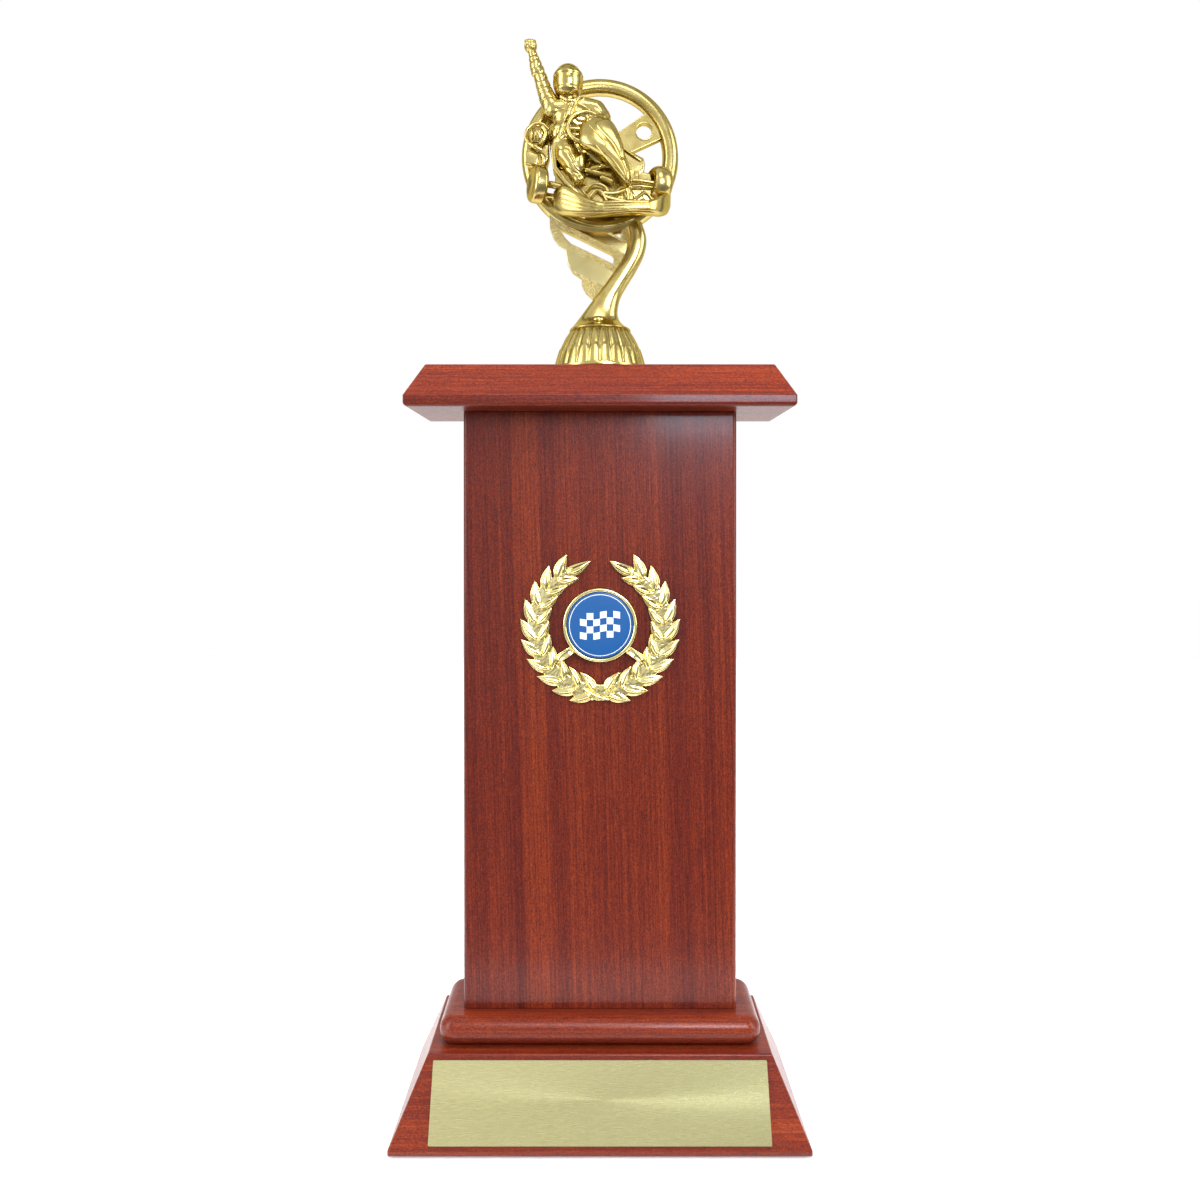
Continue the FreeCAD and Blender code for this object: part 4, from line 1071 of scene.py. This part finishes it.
limbs(body,
      [(-13.6, -9.4, 1.4, 4.8), (-12.4, -12, -3.4, 4.4), (-10.4, -13.4, -8.2, 3.4),
       (-7.8, -14.2, -13.4, 2.4)],
      [(-9, -9.4, 0.8, 4), (-4.4, -11.4, -1.8, 3.4), (0.6, -12, -5.4, 2.8)],
      [(-7.2, -14.6, -8.8, 1.9), (-7, -15.4, -6.4, 1.7), (-7.2, -14.6, -4.4, 1.2)],
      [(-3, -14.2, -9.6, 1), (0.6, -14.8, -8.8, 1.1), (4, -14.6, -8.8, 0.7)],
      [(-9.9, -11.4, 17.4, 0.62), (-11.8, -12.8, 13, 0.62), (-13.6, -13.5, 7.6, 0.62),
       (-15.6, -13.2, 2.4, 0.62)],
      [(-8.3, -11.6, 18, 0.62), (-9.8, -12.9, 13.6, 0.62), (-11.4, -13.7, 8.6, 0.62),
       (-13, -13.9, 4.2, 0.62)],
      [(-14.6, -11.6, 18.4, 0.7), (-12, -12.6, 16.6, 0.7), (-9.6, -12.2, 16.8, 0.6),
       (-6.6, -11.2, 18.8, 0.7)],
      [(-18.2, -10.2, 0.2, 0.9), (-13, -14.2, 2.6, 1), (-8.4, -13.8, 3, 0.9)])


def within(value, low, high, soft):
    """1 between two edges that fade inwards, 0 outside them."""
    return fade((value - low) / soft) * fade((high - value) / soft)


def raised_sleeve(point):
    return (fade((point.z - 15) / 3) * fade((-17.0 - point.x) / 2)
            * fade((37.6 - point.z) / 1.5))


def chest_cloth(point):
    return within(point.z, 1.5, 16.5, 3) * 0.8


def lap_cloth(point):
    return fade((2.0 - point.z) / 3)


driver = creased(skinned("driver_suit", body), [
    (raised_sleeve, Vector((-0.36, 0, 0.93)), 2.7, 0.4, 0.5),
    (chest_cloth, Vector((0.55, 0.2, 0.8)), 4.4, 0.32, 1),
    (lap_cloth, Vector((0.6, 0, 0.8)), 5.4, 0.42, 1)])
driver = at_ring([driver], "driver_in_suit")
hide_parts("driver_body", "driver_raised_arm", "driver_low_arm", "driver_legs")

# The helmet: a round shell, a brow band above a curved visor, and a chin
# bar with a vent. No face shows behind the visor.
HELMET_MIDDLE = Vector((-12, -8.6, 25))
HELMET_HALF = Vector((5.75, 6.3, 6.75))
HELMET_ROWS = 64
rings = []
for row in range(1, HELMET_ROWS):
    rise = radians(-90 + 180 * row / HELMET_ROWS)
    ring = []
    for across, along in circle(cos(rise), 96):
        way = Vector((along, -across, sin(rise)))
        point = way * HELMET_HALF
        facing = -way.y
        brow_side = fade((facing + 0.4) / 0.3)
        visor = fade((facing - 0.05) / 0.35) * within(point.z, -3.1, 1.6, 0.35)
        brow = brow_side * within(point.z, 1.7, 3.3, 0.3)
        crest = brow_side * within(point.z, 2.3, 2.75, 0.15)
        chin = fade((facing - 0.2) / 0.5) * fade((-3.1 - point.z) / 0.5)
        vent = fade((facing - 0.75) / 0.1) * within(point.z, -4.9, -4, 0.2)
        neck = fade((-5.0 - point.z) / 1.2)
        push = 0.22 * brow + 0.45 * chin - 0.38 * visor - 0.16 * crest - 0.3 * vent - 1.1 * neck
        ring.append((HELMET_MIDDLE + point + way * push) * MM)
    rings.append(ring)
helmet = at_ring([mesh_of_rings("helmet", rings)], "driver_helmet_shell")
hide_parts("driver_helmet")

# ==== Floor, light and camera ====
# A sheet of white paper, a white backdrop, soft light all round and five
# lamps. The camera stands close, at mid height, and has a wide lens.
EYE_DISTANCE = 356.2 * MM
EYE_HEIGHT = 223.8 * MM
LENS = 27.53
FILM_WIDTH = 36
TILT_DOWN = radians(0.28)
RISE_SHIFT = -0.0583
PAPER_SIDE = 1.2
PAPER_FRONT = -0.13

sheet = bmesh.new()
sheet.faces.new([sheet.verts.new((across, along, 0)) for across, along in (
    (-PAPER_SIDE, PAPER_FRONT), (PAPER_SIDE, PAPER_FRONT), (PAPER_SIDE, PAPER_SIDE),
    (-PAPER_SIDE, PAPER_SIDE))])
table = linked("white_table", sheet)
paper = Finish("white_paper", Roughness=0.9, Emission_Color=(1, 1, 1, 1), Emission_Strength=0.22)
tooth = paper.specks(2 * MM, 2.0)
table.data.materials.append(paper.surface_of(
    Base_Color=paper.mix(tooth, (0.8, 0.8, 0.8, 1), (0.84, 0.84, 0.84, 1))))

world = bpy.data.worlds.new("studio")
bpy.context.scene.world = world
world.use_nodes = True
room = Graph(world.node_tree)
sideways, away, upward = room.parts_of(room.node("TexCoord", {}, {}, out="Generated"))
# What the metal and lacquer mirror: white walls behind the trophy with a
# dark flag on each side, and a dimmer room in front, dimmest at low right.
FLAG_DARKNESS = 0.9
behind = away.between(-0.15, 0.15)
dark_flags = away.between(0.14, 0.2) * (1 - away.between(0.36, 0.46))
front_glow = (0.42 + upward.between(-0.3, -0.1) * 0.38) * (
    1.1 - sideways.between(-0.3, 0.35) * 0.5)
glow = behind * (1 - dark_flags * FLAG_DARKNESS) + (1 - behind) * front_glow
seen = room.node("LightPath", {}, {}, out="Is Camera Ray")
backdrop = world.node_tree.nodes["Background"]
room.feed(backdrop.inputs["Strength"], seen + (1 - seen) * glow)
room.feed(backdrop.inputs["Color"], (1.0, 1.0, 1.0, 1))


def lamp(name, place, aim, width, height, watts, tint=(1, 1, 1)):
    data = bpy.data.lights.new(name, "AREA")
    data.shape = "RECTANGLE"
    data.size = width
    data.size_y = height
    data.energy = watts
    data.color = tint
    held = placed(name, data)
    held.location = place
    held.rotation_euler = (Vector(aim) - Vector(place)).to_track_quat("-Z", "Y").to_euler()
    return held


lamp("high_front", (0.05, -0.95, 1.25), (0, 0, 0.25), 0.5, 0.5, 4)
overhead = lamp("overhead", (0, 0, 1.2), (0, 0, 0.25), 0.6, 0.4, 17)
overhead.visible_glossy = False
lamp("left_softbox", (-1.1, -0.5, 0.62), (0, 0, 0.3), 0.5, 1.1, 9)
lamp("right_softbox", (1.1, -0.5, 0.62), (0, 0, 0.3), 0.5, 1.1, 8.5)
lamp("window", (0.14, -0.45, 0.385), (0.04, 0, 0.27), 0.2, 0.16, 1.8, (0.78, 0.84, 1.0))

camera_data = bpy.data.cameras.new("eye")
camera_data.lens = LENS
camera_data.sensor_width = FILM_WIDTH
camera_data.shift_y = RISE_SHIFT
camera = placed("eye", camera_data)
camera.location = (0, -EYE_DISTANCE, EYE_HEIGHT)
camera.rotation_euler = (radians(90) - TILT_DOWN, 0, 0)
bpy.context.scene.camera = camera
bpy.context.scene.view_settings.view_transform = "Standard"
